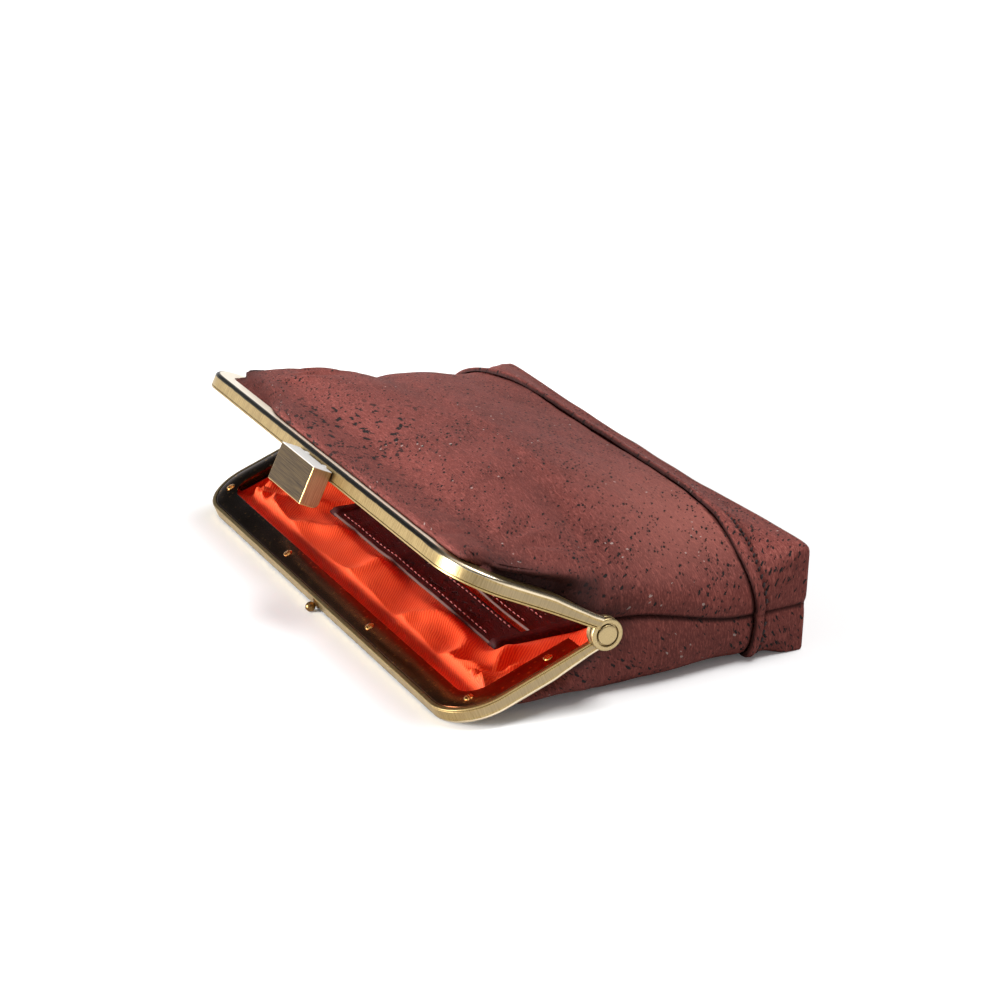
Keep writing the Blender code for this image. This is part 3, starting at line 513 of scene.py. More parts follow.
def twill_finish(name, top, groove, spacing, slope):
    """Ribbed cloth: a sine across the ribs and a finer one along them, in UV millimetres, with painted shade
    in fold valleys.
    """
    material, tree, shader = new_finish(name)
    place = node(tree, "UVMap")[0]
    u, v, _ = node(tree, "SeparateXYZ", Vector=place)
    across = times_plus(noise(place, (0.08, 0.08)), 0.9, times_plus(u, slope, v))
    along = times_plus(v, -slope, u)
    yarn = wave(times_plus(across, 2.0, along), spacing * 0.62)
    high = times_plus(yarn, 0.22, times(wave(across, spacing), 0.78))
    colour = blended(ramp(high, 0.15, 0.75), groove, top)
    # Painted shade: where the lining lies low between its folds, the colour goes a deeper red.
    painted_valley_shade = node(tree, "Attribute", {"attribute_name": "depth"})["Fac"]
    colour = blended(painted_valley_shade, colour, linear(206, 36, 12), 0.5)
    tone = times_plus(noise(place, (3.0, 3.0), 3.0, 0.7), 0.5, 0.75)
    colour = node(tree, "VectorMath", {"operation": "SCALE"}, Vector=colour, Scale=tone)[0]
    surface(
        shader, high, 0.6, 0.12, Base_Color=colour, Roughness=0.62, Specular_IOR_Level=0.25,
        Sheen_Weight=0.15, Sheen_Roughness=0.5, Sheen_Tint=linear(255, 150, 110),
    )
    return material


twill = twill_finish("lining_orange", linear(255, 98, 48), linear(236, 62, 24), 0.80, -0.7)
print("twill finish made, ribs every 0.66 mm")

# %% [markdown]
# ## Brass, bronze and thread
#
# The frame is antique brass brushed across the rim, so the brush lines are noise
# stretched across the section. Along the rounded outer edge runs a thin painted line: a
# painted highlight on the near arm and a dark painted reflection from its corner on,
# where the flange beyond the line is painted near white as a reflection. The UV map gives
# the place along the rim and round its section, so all of this follows the bends. The
# plates are dark bronze, polished, with a painted reflection that makes them browner
# towards the near end, and the screws are bright.

# %% Metal finishes


def rim_finish(name, web, worn, line_from, line_to):
    """Brushed brass with a painted line between two places round the section, in mm: highlight, then dark
    reflection.
    """
    material, tree, shader = new_finish(name)
    place = node(tree, "UVMap")[0]
    u, v, _ = node(tree, "SeparateXYZ", Vector=place)
    brush = noise(place, (5.0, 0.22), 4.0, 0.7)
    broad = noise(place, (0.16, 0.5), 3.0, 0.6)
    colour = blended(ramp(brush, 0.30, 0.70), web, worn)
    colour = blended(ramp(broad, 0.55, 0.75), colour, linear(150, 128, 84), 0.25)
    middle = times(ramp(v, 0.9, 1.4), ramp(v, 3.3, 2.8))
    colour = blended(times(middle, ramp(u, 46, 26)), colour, linear(142, 128, 104), 0.7)
    wandering = calc("ADD", v, times_plus(broad, 0.35, -0.17))
    line = ramp(wandering, line_from - 0.12, line_from + 0.12)
    line = times(line, ramp(wandering, line_to + 0.12, line_to - 0.12))
    # Past the corner the line is a dark painted reflection; on the near arm it is a painted highlight.
    past_corner = ramp(u, 36, 52)
    colour = blended(times(line, past_corner), colour, linear(30, 23, 16))
    painted_edge_highlight = times(line, calc("SUBTRACT", 1.0, past_corner))
    colour = blended(painted_edge_highlight, colour, linear(244, 228, 200), 0.7)
    lip = times(ramp(v, 0.86, 0.80), ramp(v, 0.60, 0.66))
    colour = blended(lip, colour, linear(70, 54, 30), 0.8)
    # From the corner on, the flange beyond the line is painted near white and less metallic, as a
    # reflection.
    painted_flange_reflection = times(ramp(v, line_to + 0.05, line_to + 0.3), ramp(v, 10.6, 10.4))
    painted_flange_reflection = times(painted_flange_reflection, ramp(u, 44, 56))
    colour = blended(painted_flange_reflection, colour, linear(250, 236, 214))
    rough = times_plus(painted_edge_highlight, -0.12, times_plus(brush, 0.16, 0.28))
    metal = times_plus(painted_flange_reflection, -0.75, 1.0)
    surface(shader, brush, 0.45, 0.04, Base_Color=colour, Metallic=metal, Roughness=rough)
    return material


def turned_finish(name, first, second, roughness, across=6.0, along=0.5):
    """Metal with fine lines, on Object coordinates, for small turned and flat parts."""
    material, tree, shader = new_finish(name)
    lines = noise(node(tree, "TexCoord")["Object"], (along / MM, across / MM, across / MM), 3.0)
    colour = blended(ramp(lines, 0.35, 0.65), first, second)
    rough = times_plus(lines, 0.2, roughness - 0.1)
    surface(shader, lines, 0.3, 0.02, Base_Color=colour, Metallic=1.0, Roughness=rough)
    return material


def plate_finish(name):
    """Polished dark bronze: cloudy tone, gold dust specks, and a painted reflection that browns it towards
    the near end.
    """
    material, tree, shader = new_finish(name)
    place = node(tree, "TexCoord")["Object"]
    in_mm = scaled(place, 1 / MM, 1 / MM, 1 / MM)
    cloud = noise(in_mm, (0.12, 0.12, 0.12))
    along = times_plus(cloud, 0.03, node(tree, "SeparateXYZ", Vector=place)[0])
    # Painted reflection: the colour goes from dark to orange-brown along X, towards the near end.
    colour = blended(ramp(along, -0.06, 0.05), linear(68, 47, 33), linear(138, 86, 56))
    dust = node(tree, "TexVoronoi", Vector=in_mm, Scale=0.55)["Distance"]
    colour = blended(ramp(dust, 0.25, 0.16), colour, linear(206, 164, 102), 0.6)
    surface(shader, Base_Color=colour, Metallic=1.0, Roughness=times_plus(cloud, 0.12, 0.12))
    return material


def thread_finish(name, first, second):
    """Twisted sewing thread: slanting lines in UV millimetres."""
    material, tree, shader = new_finish(name)
    twist = noise(node(tree, "UVMap")[0], (2.0, 6.0), 2.0, 0.6)
    surface(shader, Base_Color=blended(ramp(twist, 0.35, 0.65), first, second), Roughness=0.7)
    return material


brass = rim_finish("frame_brass", linear(138, 114, 72), linear(184, 160, 110), 3.50, 4.92)
rivet_brass = turned_finish("rivet_brass", linear(152, 134, 98), linear(190, 168, 124), 0.36, 9.0, 9.0)
stud_brass = turned_finish("stud_brass", linear(104, 78, 48), linear(156, 122, 76), 0.30)
screw_brass = turned_finish("screw_brass", linear(214, 150, 82), linear(240, 190, 120), 0.26)
bronze = plate_finish("plate_bronze")
wine_thread = thread_finish("wine_thread", linear(44, 17, 17), linear(22, 9, 9))
pink_thread = thread_finish("pink_thread", linear(176, 98, 92), linear(120, 52, 50))
print("metal and thread finishes made")

# %% [markdown]
# ## The two frame halves
#
# Each half is a brass channel bent to a U: a web that stands up, a rounded outer edge and
# a flange that turns inwards over the cloth. It is a section carried along the U. Towards
# the hinge the flange narrows, and on the front half the web steps outwards to the lug.
# On the web, just above the mating edge, a fine groove marks off a lip.

# %% Frame sections and sweep
HALF_WIDTH = 90.0 * MM
REACH = 42.8 * MM
CORNER = 14.0 * MM
MEETING = 0.6 * MM
RIM_TOP = 4.8 * MM
WALL = 1.0 * MM
ROUND = 0.9 * MM
FLANGE = 5.5 * MM
ARM_FLANGE = 1.5 * MM
LUG_STEP = 1.7 * MM
ARC_STEPS = 26
EDGE_STEPS = 8


def path_round(arm_end, straight=2.0 * MM):
    """Stations round the U, right arm to left: outer point, inward direction, distance."""
    arm = np.arange(arm_end, REACH - CORNER, straight / 2)
    angle = np.linspace(0, math.pi / 2, ARC_STEPS)
    centre = np.array([HALF_WIDTH - CORNER, -(REACH - CORNER)])
    out = np.stack([np.cos(angle), -np.sin(angle)], axis=1)
    middle = np.arange(HALF_WIDTH - CORNER - straight, straight / 2, -straight)
    half = np.concatenate([
        np.stack([np.full_like(arm, HALF_WIDTH), -arm], axis=1),
        centre + CORNER * out,
        np.stack([middle, np.full_like(middle, -REACH)], axis=1),
    ])
    inward = [np.tile([-1.0, 0.0], (len(arm), 1)), -out, np.tile([0.0, 1.0], (len(middle), 1))]
    inward = np.concatenate(inward)
    place = np.concatenate([half, half[::-1] * [-1, 1]])
    inward = np.concatenate([inward, inward[::-1] * [-1, 1]])
    return place, inward, walked(place)


def arc(centre, radius, start, end, steps):
    """Points of an arc about a centre in the section's plane."""
    angle = np.radians(np.linspace(start, end, steps))
    return np.stack([centre[0] + radius * np.cos(angle), centre[1] + radius * np.sin(angle)], axis=1)


def channel(flange, top, wall):
    """The channel's section as (inset, height): lip, groove, web, round, flange and inside."""
    lip, groove, depth, small = 0.45 * MM, 0.24 * MM, 0.16 * MM, 0.16 * MM
    base = MEETING
    outline = [
        arc((small, base + small), small, 270, 180, 5),
        [(0, base + lip), (depth, base + lip + groove / 2), (0, base + lip + groove)],
        [(0, base + lip + groove + 0.3 * MM), (0, top - ROUND - 0.4 * MM)],
        arc((ROUND, top - ROUND), ROUND, 180, 90, EDGE_STEPS),
        [(ROUND + 0.3 * (flange - ROUND), top)],
        arc((flange - small, top - small), small, 90, 0, 4),
        arc((flange - small, top - WALL + small), small, 0, -90, 4),
        [(wall, top - WALL), (wall, base)],
    ]
    return np.concatenate([np.array(part, float) for part in outline])


def flange_width(reach):
    """Width of the flange over the cloth: wide round the mouth, narrow beside the hinge."""
    return ARM_FLANGE + (FLANGE - ARM_FLANGE) * grows(reach, 8.5, 6.0)


def frame_half(name, side, lug_out):
    """The channel's section, closed into a loop, carried round the U."""
    place, inward, distance = path_round(2.6 * MM)
    rings = []
    for (x, y), (in_x, in_y) in zip(place, inward):
        reach = -y if abs(in_x) == 1.0 else REACH
        step = 1 - float(np.clip((reach - 5.0 * MM) / (11.0 * MM), 0, 1))
        section = channel(flange_width(reach), RIM_TOP - 0.9 * MM * step, WALL + 0.4 * MM * step)
        push = lug_out * step * math.copysign(1, x)
        rings.append([(x + push + a * in_x, y + a * in_y, side * b) for a, b in section])
    rings = np.array(rings)
    rings = np.concatenate([rings, rings[:, :1]], axis=1)
    round_place = walked(channel(FLANGE, RIM_TOP, WALL))
    round_place = np.append(round_place, round_place[-1] + WALL)
    return swept(name, from_half(rings, side), distance, round_place, brass, merge=1e-7)


for name, side, lug_out, body in (
    ("front_frame_rim", 1, LUG_STEP, "front_half"),
    ("back_frame_rim", -1, -0.2 * MM, "back_half"),
):
    half = frame_half(name, side, lug_out)
    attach(half, body)
    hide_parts(name.replace("_rim", ""))
    print(name, len(half.data.polygons), "faces")

# %% [markdown]
# ## Plates and screws
#
# A flat ring of dark bronze is screwed over the cloth's edge inside each half. It is the
# same U with a plain section whose edges are slightly rounded. Each screw head is a low
# dome cut by a slot: its surface is a height over a round outline, with two columns of
# points at each side of the slot, so that the slot's walls stand straight.

# %% Plates and screws
PLATE_FROM, PLATE_TO = 1.3 * MM, 7.5 * MM
PLATE_LOW, PLATE_HIGH = 0.6 * MM, 1.4 * MM
SCREW_RADIUS, SCREW_RISE, SCREW_SLOT = 1.2 * MM, 0.42 * MM, 0.17 * MM


def plate_ring(name, side):
    """The plate's rounded section, closed into a loop, carried round the U."""
    place, inward, distance = path_round(6.6 * MM)
    edge = 0.14 * MM
    section = np.concatenate(
        [
            arc((PLATE_FROM + edge, PLATE_LOW + edge), edge, 180, 270, 4),
            [((PLATE_FROM + PLATE_TO) / 2, PLATE_LOW)],
            arc((PLATE_TO - edge, PLATE_LOW + edge), edge, 270, 360, 4),
            arc((PLATE_TO - edge, PLATE_HIGH - edge), edge, 0, 90, 3),
            arc((PLATE_FROM + edge, PLATE_HIGH - edge), edge, 90, 180, 3),
        ]
    )
    section = np.concatenate([section, section[:1]])
    flat = place[:, None, :] + section[None, :, :1] * inward[:, None, :]
    height = np.broadcast_to(side * section[None, :, 1:], flat.shape[:2] + (1,))
    rings = from_half(np.concatenate([flat, height], axis=2), side)
    return swept(name, rings, distance, section[:, 0], bronze, merge=1e-7)


def screw_head(name, side, x, y, turn):
    """A slotted dome: rows across the outline, with steps down at the slot's two sides."""
    slot = SCREW_SLOT
    outside = SCREW_RADIUS * np.sin(np.linspace(-1, -0.16, 10) * math.pi / 2)
    rows = np.concatenate([outside, [-slot, -slot, 0, slot, slot], -outside[::-1]])
    in_slot = np.zeros(len(rows), bool)
    in_slot[11:14] = True
    share = np.concatenate([[-1], np.sin(np.linspace(-1, 1, 17) * math.pi / 2), [1]])
    b = rows[:, None] + 0 * share[None, :]
    a = np.sqrt(np.maximum(SCREW_RADIUS**2 - b**2, 0)) * share[None, :]
    from_centre = np.clip((a**2 + b**2) / SCREW_RADIUS**2, 0, 1)
    top = SCREW_RISE * (0.35 + 0.65 * np.sqrt(1 - 0.98 * from_centre))
    top = np.where(in_slot[:, None], SCREW_RISE * 0.30, top)
    top[:, 0] = top[:, -1] = 0
    c, s = math.cos(turn), math.sin(turn)
    seat = PLATE_LOW + 0.02 * MM
    low = np.stack([x + a * c - b * s, y + a * s + b * c, side * np.full_like(a, seat)], axis=-1)
    high = low.copy()
    high[..., 2] = side * (seat - top)
    high, low = from_half(high, side), from_half(low, side)
    return shell(name, high, low, screw_brass, uv=both_ways(a, b), smooth_angle=50, merge=1e-8)


screws = [(85.6, -14.0), (82.9, -35.0), (28.9, -38.4)]
screws = screws + [(-x, y) for x, y in reversed(screws)]
for half, side, body in (("front", 1, "front_half"), ("back", -1, "back_half")):
    ring = plate_ring(f"{half}_plate_ring", side)
    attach(ring, body)
    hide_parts(f"{half}_plate")
    for number, (x, y) in enumerate(screws, start=1):
        head = screw_head(f"{half}_screw_{number}", side, x * MM, y * MM, math.radians(40 + 67 * number))
        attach(head, body)
        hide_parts(f"{half}_plate_screw_{number}")
print("plates and", 2 * len(screws), "screws")

# %% [markdown]
# ## Hinge lugs, rivets and the ball stud
#
# These are turned parts: a closed outline of (place on the axis, radius) is carried
# round the axis. The outer lug is a ring with a seat, and the flat rivet head lies in it
# with a dark gap all round. The stud's ball clicks into the block when the frame closes.

# %% Turned parts
RING_STEPS, STUD_STEPS = 96, 48


def turned(name, outline, finish, centre, along, steps):
    """Carries a closed outline of (place, radius) in mm round an axis through the centre."""
    outline = np.array(outline, float) * MM
    outline = np.concatenate([outline, outline[:1]])
    angle = np.linspace(0, 2 * math.pi, steps + 1)[:, None]
    along = np.array(along, float) / np.linalg.norm(along)
    first = np.cross(along, [0, 0, 1.0])
    first = first / np.linalg.norm(first)
    second = np.cross(along, first)
    radius = outline[None, :, 1]
    grid = (
        np.asarray(centre)
        + outline[None, :, 0, None] * along
        + (radius * np.cos(angle))[..., None] * first
        + (radius * np.sin(angle))[..., None] * second
    )
    return swept(name, grid, angle[:, 0] * 3.0 * MM, walked(outline), finish, smooth_angle=35, merge=1e-8)


OUTER_RING = [
    (90.3, 1.8), (90.3, 3.9), (90.4, 4.05), (90.5, 4.1), (91.35, 4.1), (91.52, 4.03),
    (91.64, 3.86), (91.68, 3.6), (91.70, 3.2), (91.66, 2.98), (91.56, 2.88), (91.4, 2.85),
    (90.95, 2.85), (90.95, 1.8),
]
INNER_RING = [(88.4, 1.8), (88.4, 3.95), (88.55, 4.1), (89.65, 4.1), (89.8, 3.95), (89.8, 1.8)]
RIVET = [
    (91.90, 0), (91.90, 1.6), (91.88, 2.1), (91.80, 2.38), (91.68, 2.5), (91.5, 2.55), (91.2, 2.55),
    (91.2, 1.5), (88.1, 1.5), (88.1, 2.4), (87.9, 2.38), (87.65, 2.1), (87.5, 1.4), (87.5, 0),
]
for sign, end in ((1, "right"), (-1, "left")):
    outer = turned(f"front_lug_{end}", OUTER_RING, rivet_brass, hinge, (sign, 0, 0), RING_STEPS)
    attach(outer, "front_half")
    inner = turned(f"back_lug_{end}", INNER_RING, rivet_brass, hinge, (sign, 0, 0), RING_STEPS)
    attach(inner, "back_half")
    rivet = turned(f"{end}_rivet", RIVET, rivet_brass, hinge, (sign, 0, 0), RING_STEPS)
    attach(rivet, "back_half")
    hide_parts(f"{end}_hinge_rivet")

BALL_RADIUS, BALL_PLACE = 1.35, 1.7
ball = np.linspace(math.radians(27), math.pi, 20)
STUD = [(-0.25, 0), (-0.25, 1.2), (0.0, 1.5), (0.1, 1.55), (0.22, 1.5), (0.3, 1.3), (0.35, 0.62)]
STUD = STUD + [(BALL_PLACE - BALL_RADIUS * math.cos(a), BALL_RADIUS * math.sin(a)) for a in ball]
stud_height = -(MEETING + 2.1 * MM)
foot = from_half(np.array([0, -REACH, stud_height]), -1)
out_from_rim = from_half(np.array([0, -REACH - MM, stud_height]), -1) - foot
stud = turned("ball_stud", STUD, stud_brass, foot, out_from_rim, STUD_STEPS)
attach(stud, "back_half")
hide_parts("clasp_stud")
print("lugs, rivets and stud made")

# %% [markdown]
# ## The clasp block
#
# The block is a solid bronze bar, brushed along its front and up its ends, with its
# edges worn bright and its top painted near white as a reflection. The CAD solid has the
# right shape, with its slot and its bevels, so it stays and only gets a finish. A Mapping
# node turns the scene's places into the block's own, and the wear is where two of the
# three distances to the faces are small.

# %% Block finish
BLOCK_CENTRE = from_half(np.array([0, -45.8 * MM, -1.95 * MM]), 1)
BLOCK_HALF = (11.3, 2.7, 5.15)


def block_finish(name):
    """Brushed bronze with bright worn edges and a top painted near white as a reflection, in the block's own
    millimetres.
    """
    material, tree, shader = new_finish(name)
    own = node(
        tree, "Mapping", {"vector_type": "TEXTURE"}, Vector=node(tree, "TexCoord")["Object"],
        Location=BLOCK_CENTRE.tolist(), Rotation=(-TILT[1], 0, 0), Scale=(MM, MM, MM),
    )[0]
    parts = node(tree, "SeparateXYZ", Vector=own)
    gaps = [calc("SUBTRACT", half, calc("ABSOLUTE", part)) for part, half in zip(parts, BLOCK_HALF)]
    second = calc("MINIMUM", calc("MAXIMUM", gaps[0], gaps[1]), gaps[2])
    second = calc("MAXIMUM", calc("MINIMUM", gaps[0], gaps[1]), second)
    worn = ramp(second, 0.34, 0.20)
    front_lines = noise(own, (0.10, 1, 7.0), 3.0, 0.6)
    end_lines = noise(own, (1, 6.0, 0.12), 3.0, 0.6)
    front = blended(ramp(front_lines, 0.3, 0.7), linear(50, 38, 24), linear(104, 83, 52))
    ends = blended(ramp(end_lines, 0.3, 0.7), linear(158, 124, 92), linear(190, 156, 118))
    colour = blended(ramp(gaps[0], 0.3, 0.1), front, ends)
    colour = blended(worn, colour, linear(196, 160, 98), 0.85)
    # Painted reflection: the top face is near white and less metallic.
    painted_white_top = ramp(parts[2], BLOCK_HALF[2] - 0.3, BLOCK_HALF[2] - 0.1)
    colour = blended(painted_white_top, colour, linear(232, 230, 226))
    metal, rough = times_plus(painted_white_top, -0.85, 1.0), times_plus(worn, 0.04, 0.36)
    lines = calc("ADD", front_lines, end_lines)
    surface(shader, lines, 0.25, 0.02, Base_Color=colour, Metallic=metal, Roughness=rough)
    return material


for name, finish in (("clasp_block", block_finish("block_bronze")), ("clasp_spring", screw_brass)):
    solid = frame["nodes"][name]
    solid.data.materials.clear()
    solid.data.materials.append(finish)
print("block centre", BLOCK_CENTRE.round(4))

# %% [markdown]
# ## The shape of the bag
#
# The bag is one stiff cloth shell: a front and a back panel of cork that meet in a side
# seam, and a wide band of the same cork round the bottom. In the mouth each panel is
# gripped along the U of its frame half and rises from the flange. Behind the hinge its
# sections are halves of a superellipse, soft near the frame and boxy at the bottom. All
# layers are worked out from this one surface, so that they lie on each other.
#
# Stiff cloth like this hardly drapes, so its folds are modelled straight into the
# surface, and no cloth simulation is run: the roll over the arms, the pleats at the
# corners and the low creases are all terms of the formula.

# %% The bag's surface as a formula
DEPTH = 57.0 * MM
BAND_LINE = 43.8 * MM
BAG_HEIGHT = 26.7 * MM
SEAM_DROP = 6.4 * MM
BOTTOM_SEAM = hinge[2] - SEAM_DROP
EDGE_INSET = 2.2 * MM
GROOVE = RIM_TOP - WALL - 0.3 * MM
CLIMB_START, CLIMB_WIDTH = 0.3, 7
LIP_RISE, LIP_SHIFT, ROLL_BULGE = 1.45 * MM, 5.3 * MM, 3.0 * MM
BOTTOM_SLANT = 2.6 * MM
FLOOR_DROP = (REACH - ROUND) * math.sin(TILT[-1]) + (RIM_TOP - ROUND) * math.cos(TILT[-1]) + ROUND
FRONT_PLACES = (-1, -.7, -.5, -.3, 0, .2, .45, .7, 1)
FRONT_NEAR = (.20, .35, .52, .64, .72, .72, .73, .71, .57)
FRONT_MIDDLE = (.20, .38, .62, .79, .90, .87, .84, .76, .51)
FRONT_FAR = (.19, .36, .60, .78, .89, .89, .94, .90, .54)
BACK_SHARES = (-1, -.7, -.47, -.23, 0, .23, .5, .75, 1), (.22, .33, .50, .66, .795, .775, .63, .53, .47)
FRONT_POWER = (-43, -15, 0, 20, 38, 44, 48, 52, 57), (3.7, 3.0, 2.7, 2.8, 3.1, 3.7, 6, 14, 50)
BACK_POWER = (-43, -15, 0, 20, 38, 44, 50, 57), (5.0, 4.6, 6.4, 6.1, 5.1, 6.4, 12, 50)


def box_walk(side_steps, top_steps):
    """Places round half a square, from its right foot over the top to its left foot."""
    up = np.linspace(0, 1, side_steps) ** 0.9
    turn = np.linspace(-1, 1, top_steps)[1:-1]
    over = -0.35 * turn - 0.65 * np.sin(turn * math.pi / 2)
    x = np.concatenate([np.ones_like(up), over, -np.ones_like(up)])
    y = np.concatenate([up, np.ones_like(over), up[::-1]])
    return x[None, :], y[None, :]


def gripped_width(place):
    """Half the width of the edge that the frame grips, which rounds the corners."""
    inner = CORNER - EDGE_INSET
    share = np.clip((-place - (REACH - CORNER)) / inner, 0, 1)
    return HALF_WIDTH - CORNER + inner * np.sqrt(1 - share**2)


def seam_width(place):
    """Half the bag's width behind the hinge: narrow at the lugs, wider at the middle."""
    narrower = smoothstep((place - 20 * MM) / (BAND_LINE - 20 * MM))
    return HALF_WIDTH - (3.6 - 1.2 * grows(place, 0, 20) + 0.8 * narrower) * MM


def depth_in_frame(x, place):
    """How far a point lies inside the outer face of the frame half."""
    over_x = np.abs(x) - (HALF_WIDTH - CORNER)
    over_y = -place - (REACH - CORNER) + 0 * x
    outside = np.hypot(np.maximum(over_x, 0), np.maximum(over_y, 0))
    return CORNER - outside - np.minimum(np.maximum(over_x, over_y), 0)


def middle_path(place, tilt):
    """The bag's middle plane from the side: along the tilted frame, then bent level at the hinge."""
    reach = 20 * MM
    steps = np.linspace(-20, 20, 401) * MM
    angle = tilt * fades(steps, -8, 16)
    size = steps[1] - steps[0]
    along = np.concatenate([[0], np.cumsum(np.cos(angle[1:]) * size)]) - reach * math.cos(tilt)
    across = reach * math.sin(tilt) - np.concatenate([[0], np.cumsum(np.sin(angle[1:]) * size)])
    within = np.clip(place, steps[0], steps[-1])
    before, after = np.minimum(place - steps[0], 0), np.maximum(place - steps[-1], 0)
    y = np.interp(within, steps, along) + before * math.cos(tilt) + after
    return y, np.interp(within, steps, across) - before * math.sin(tilt)


def rounded(distance, radius):
    """1 inside a sheet, falling in a quarter circle to 0 at its edge."""
    share = np.clip(distance / radius, 0, 1)
    return np.sqrt(np.maximum(1 - (1 - share) ** 2, 0))


def roll_height(place):
    """Height over the flange at which the cloth rolls out over the frame's arm."""
    return (1.0 + 4.2 * np.clip((place + 33 * MM) / (30 * MM), 0, 1)) * MM


def outwards(x, place):
    """Unit directions out of the frame's U, in its own plane."""
    out_x = np.maximum(np.abs(x) - (HALF_WIDTH - CORNER), 0)
    out_y = np.maximum(-place - (REACH - CORNER), 0)
    length = np.maximum(np.hypot(out_x, out_y), 1e-9)
    return np.sign(x) * out_x / length, -out_y / length


def height_share(side, place, across):
    """Height as a share of the bag's greatest, from the tables for near, far and middle."""
    place = place / np.where(place < 0, REACH, DEPTH)
    if side < 0:
        return smooth_table(*BACK_SHARES, place)
    near, middle, far = (
        smooth_table(FRONT_PLACES, values, place) for values in (FRONT_NEAR, FRONT_MIDDLE, FRONT_FAR)
    )
    weight = 1 - smoothstep((np.abs(across) - 0.25) / 0.7)
    return np.where(across > 0, near, far) * (1 - weight) + middle * weight


def bag_surface(side, place, box, lip=True):
    """Outer face of one side of the bag, as a grid of points in the scene.

    place is the distance behind the hinge, minus in the mouth. The box walk is drawn in
    along its own rays to a superellipse, whose power comes from a table. Its height comes
    from the tables too. Beside the arms the wall is pinched in as far as the flange, and
    higher up the front one rolls out over it with a bulge. Behind the hinge the walls are
    tucked in to the side seam. With lip, the front's cloth also lies over the flange with
    a rounded lip before it climbs. The lining is made without it.
    """
    box_x, box_y = box
    place = place + 0 * box_x
    power = smooth_table(*(FRONT_POWER if side > 0 else BACK_POWER), place / MM)
    ray = (np.abs(box_x) ** power + np.abs(box_y) ** power) ** (-1 / power)
    across, up = box_x * ray, box_y * ray
    width = gripped_width(place) + (seam_width(place) - gripped_width(place)) * grows(place, -9, 5)
    x = width * across
    behind = grows(place, -5, 7)
    edge = GROOVE + (-0.15 * MM - GROOVE) * behind
    full = BAG_HEIGHT * height_share(side, place, across)
    climb = grows(depth_in_frame(x, place) - FLANGE, CLIMB_START, CLIMB_WIDTH)
    mix = np.maximum(grows(place, -10.5, 13.5), grows(place, -37, 6))
    height = edge + (full - edge) * (climb + (up - climb) * mix)

    over = height - (RIM_TOP + 0.2 * MM)
    arm = mix * (1 - behind)
    to_flange = width - HALF_WIDTH + flange_width(-place) + 0.3 * MM
    if side > 0 and lip:
        soft = (1.4 + 4.0 * np.clip((place + 33 * MM) / (25 * MM), 0, 1) ** 1.5) * MM
        over = over - roll_height(place)
        rolled = smoothstep(over / soft + 0.5)
        bulge = ROLL_BULGE * rolled * fades(over - soft, 0, 7)
        pinch = arm * (to_flange * (1 - rolled) - bulge)
    elif side > 0:
        pinch = arm * (to_flange + 0.9 * MM) * grows(np.abs(x), 40, 40)
    else:
        pinch = arm * to_flange * fades(over, 0, 4.6)
    ahead = fades(place, 0, 34)
    tuck = (1.4 + 2.4 * ahead) * MM
    tall = (4.2 + (5.5 if side > 0 else 1.0) * ahead) * MM
    pinch = pinch + tuck * behind * (1 - rounded(height, tall))
    x = x - np.sign(x) * np.minimum(pinch, np.abs(x))
    if side > 0 and lip:
        out_x, out_y = outwards(x, place)
        cover = grows(x, -60, 25) * (1 - smoothstep((out_x - 0.45) / 0.45))
        t = (depth_in_frame(x, place) - FLANGE - CLIMB_START * MM) / (CLIMB_WIDTH * MM)
        t = np.clip(t, 0, 1)
        laid = edge + LIP_RISE * smoothstep(t / 0.10)
        laid = laid + (full - laid) * rounded(t - 0.25, 0.45)
        height = height + (laid - height) * cover * (1 - smoothstep((t - 0.6) / 0.4))
        shift = LIP_SHIFT * cover * smoothstep((t - 0.08) / 0.20) * (1 - smoothstep((t - 0.28) / 0.72))
        x, place = x + shift * out_x, place + shift * out_y

    lean = TILT[side] * fades(place, -15, 35)
    slant = BOTTOM_SLANT * side * height / BAG_HEIGHT * smoothstep(place / DEPTH)
    path_y, path_z = middle_path(place, TILT[side])
    y = path_y + height * np.sin(lean) + slant
    z = side * (path_z + height * np.cos(lean)) - SEAM_DROP * grows(place, 8, 34)
    if side < 0:
        z = np.maximum(z, -FLOOR_DROP)
    return np.stack([x, y, z], axis=-1) + hinge


def row_places(end, step=0.62 * MM):
    """Places of the rows: even steps round the frame's corners, then even steps in place."""
    inner = CORNER - EDGE_INSET
    angle = np.linspace(0, math.pi / 2, 54)
    corner = -(REACH - CORNER + inner * np.cos(angle))
    rest = np.linspace(corner[-1], end, int((end - corner[-1]) / step) + 1)
    return np.concatenate([corner, rest[1:]])[:, None]


heights = bag_surface(1, row_places(BAND_LINE), box_walk(44, 190))[..., 2]
print("front grid", heights.shape, "lowest and highest", heights.min().round(4), heights.max().round(4))

# %% [markdown]
# ## Cork panels
#
# Each panel is a sheet one millimetre thick. Low hills keep the light moving over the
# cloth as stiff cork does, and pleats run in from the frame's corners, where the cloth
# is gathered into the rim. Under the bottom band the panels sink by a little more than
# its thickness. The depth of each point paints light and shade into the cork: it is 1 or
# little less at the seam, beside the band's fold, under the roll by the arms and round
# the lugs, where shade is painted, and below 0 over the front's near end behind the
# hinge, where a highlight is painted.

# %% Front and back panel
CORK_SHEET = 1.0 * MM
FLOOR_GAP = 0.05 * MM
FOLD_MIDDLE = 46.5 * MM
FOLD_BEND_NEAR, FOLD_BEND_FAR = 6.0 * MM, 11.0 * MM
UNDER_BAND, PANEL_SINK = 6.5 * MM, 1.3 * MM


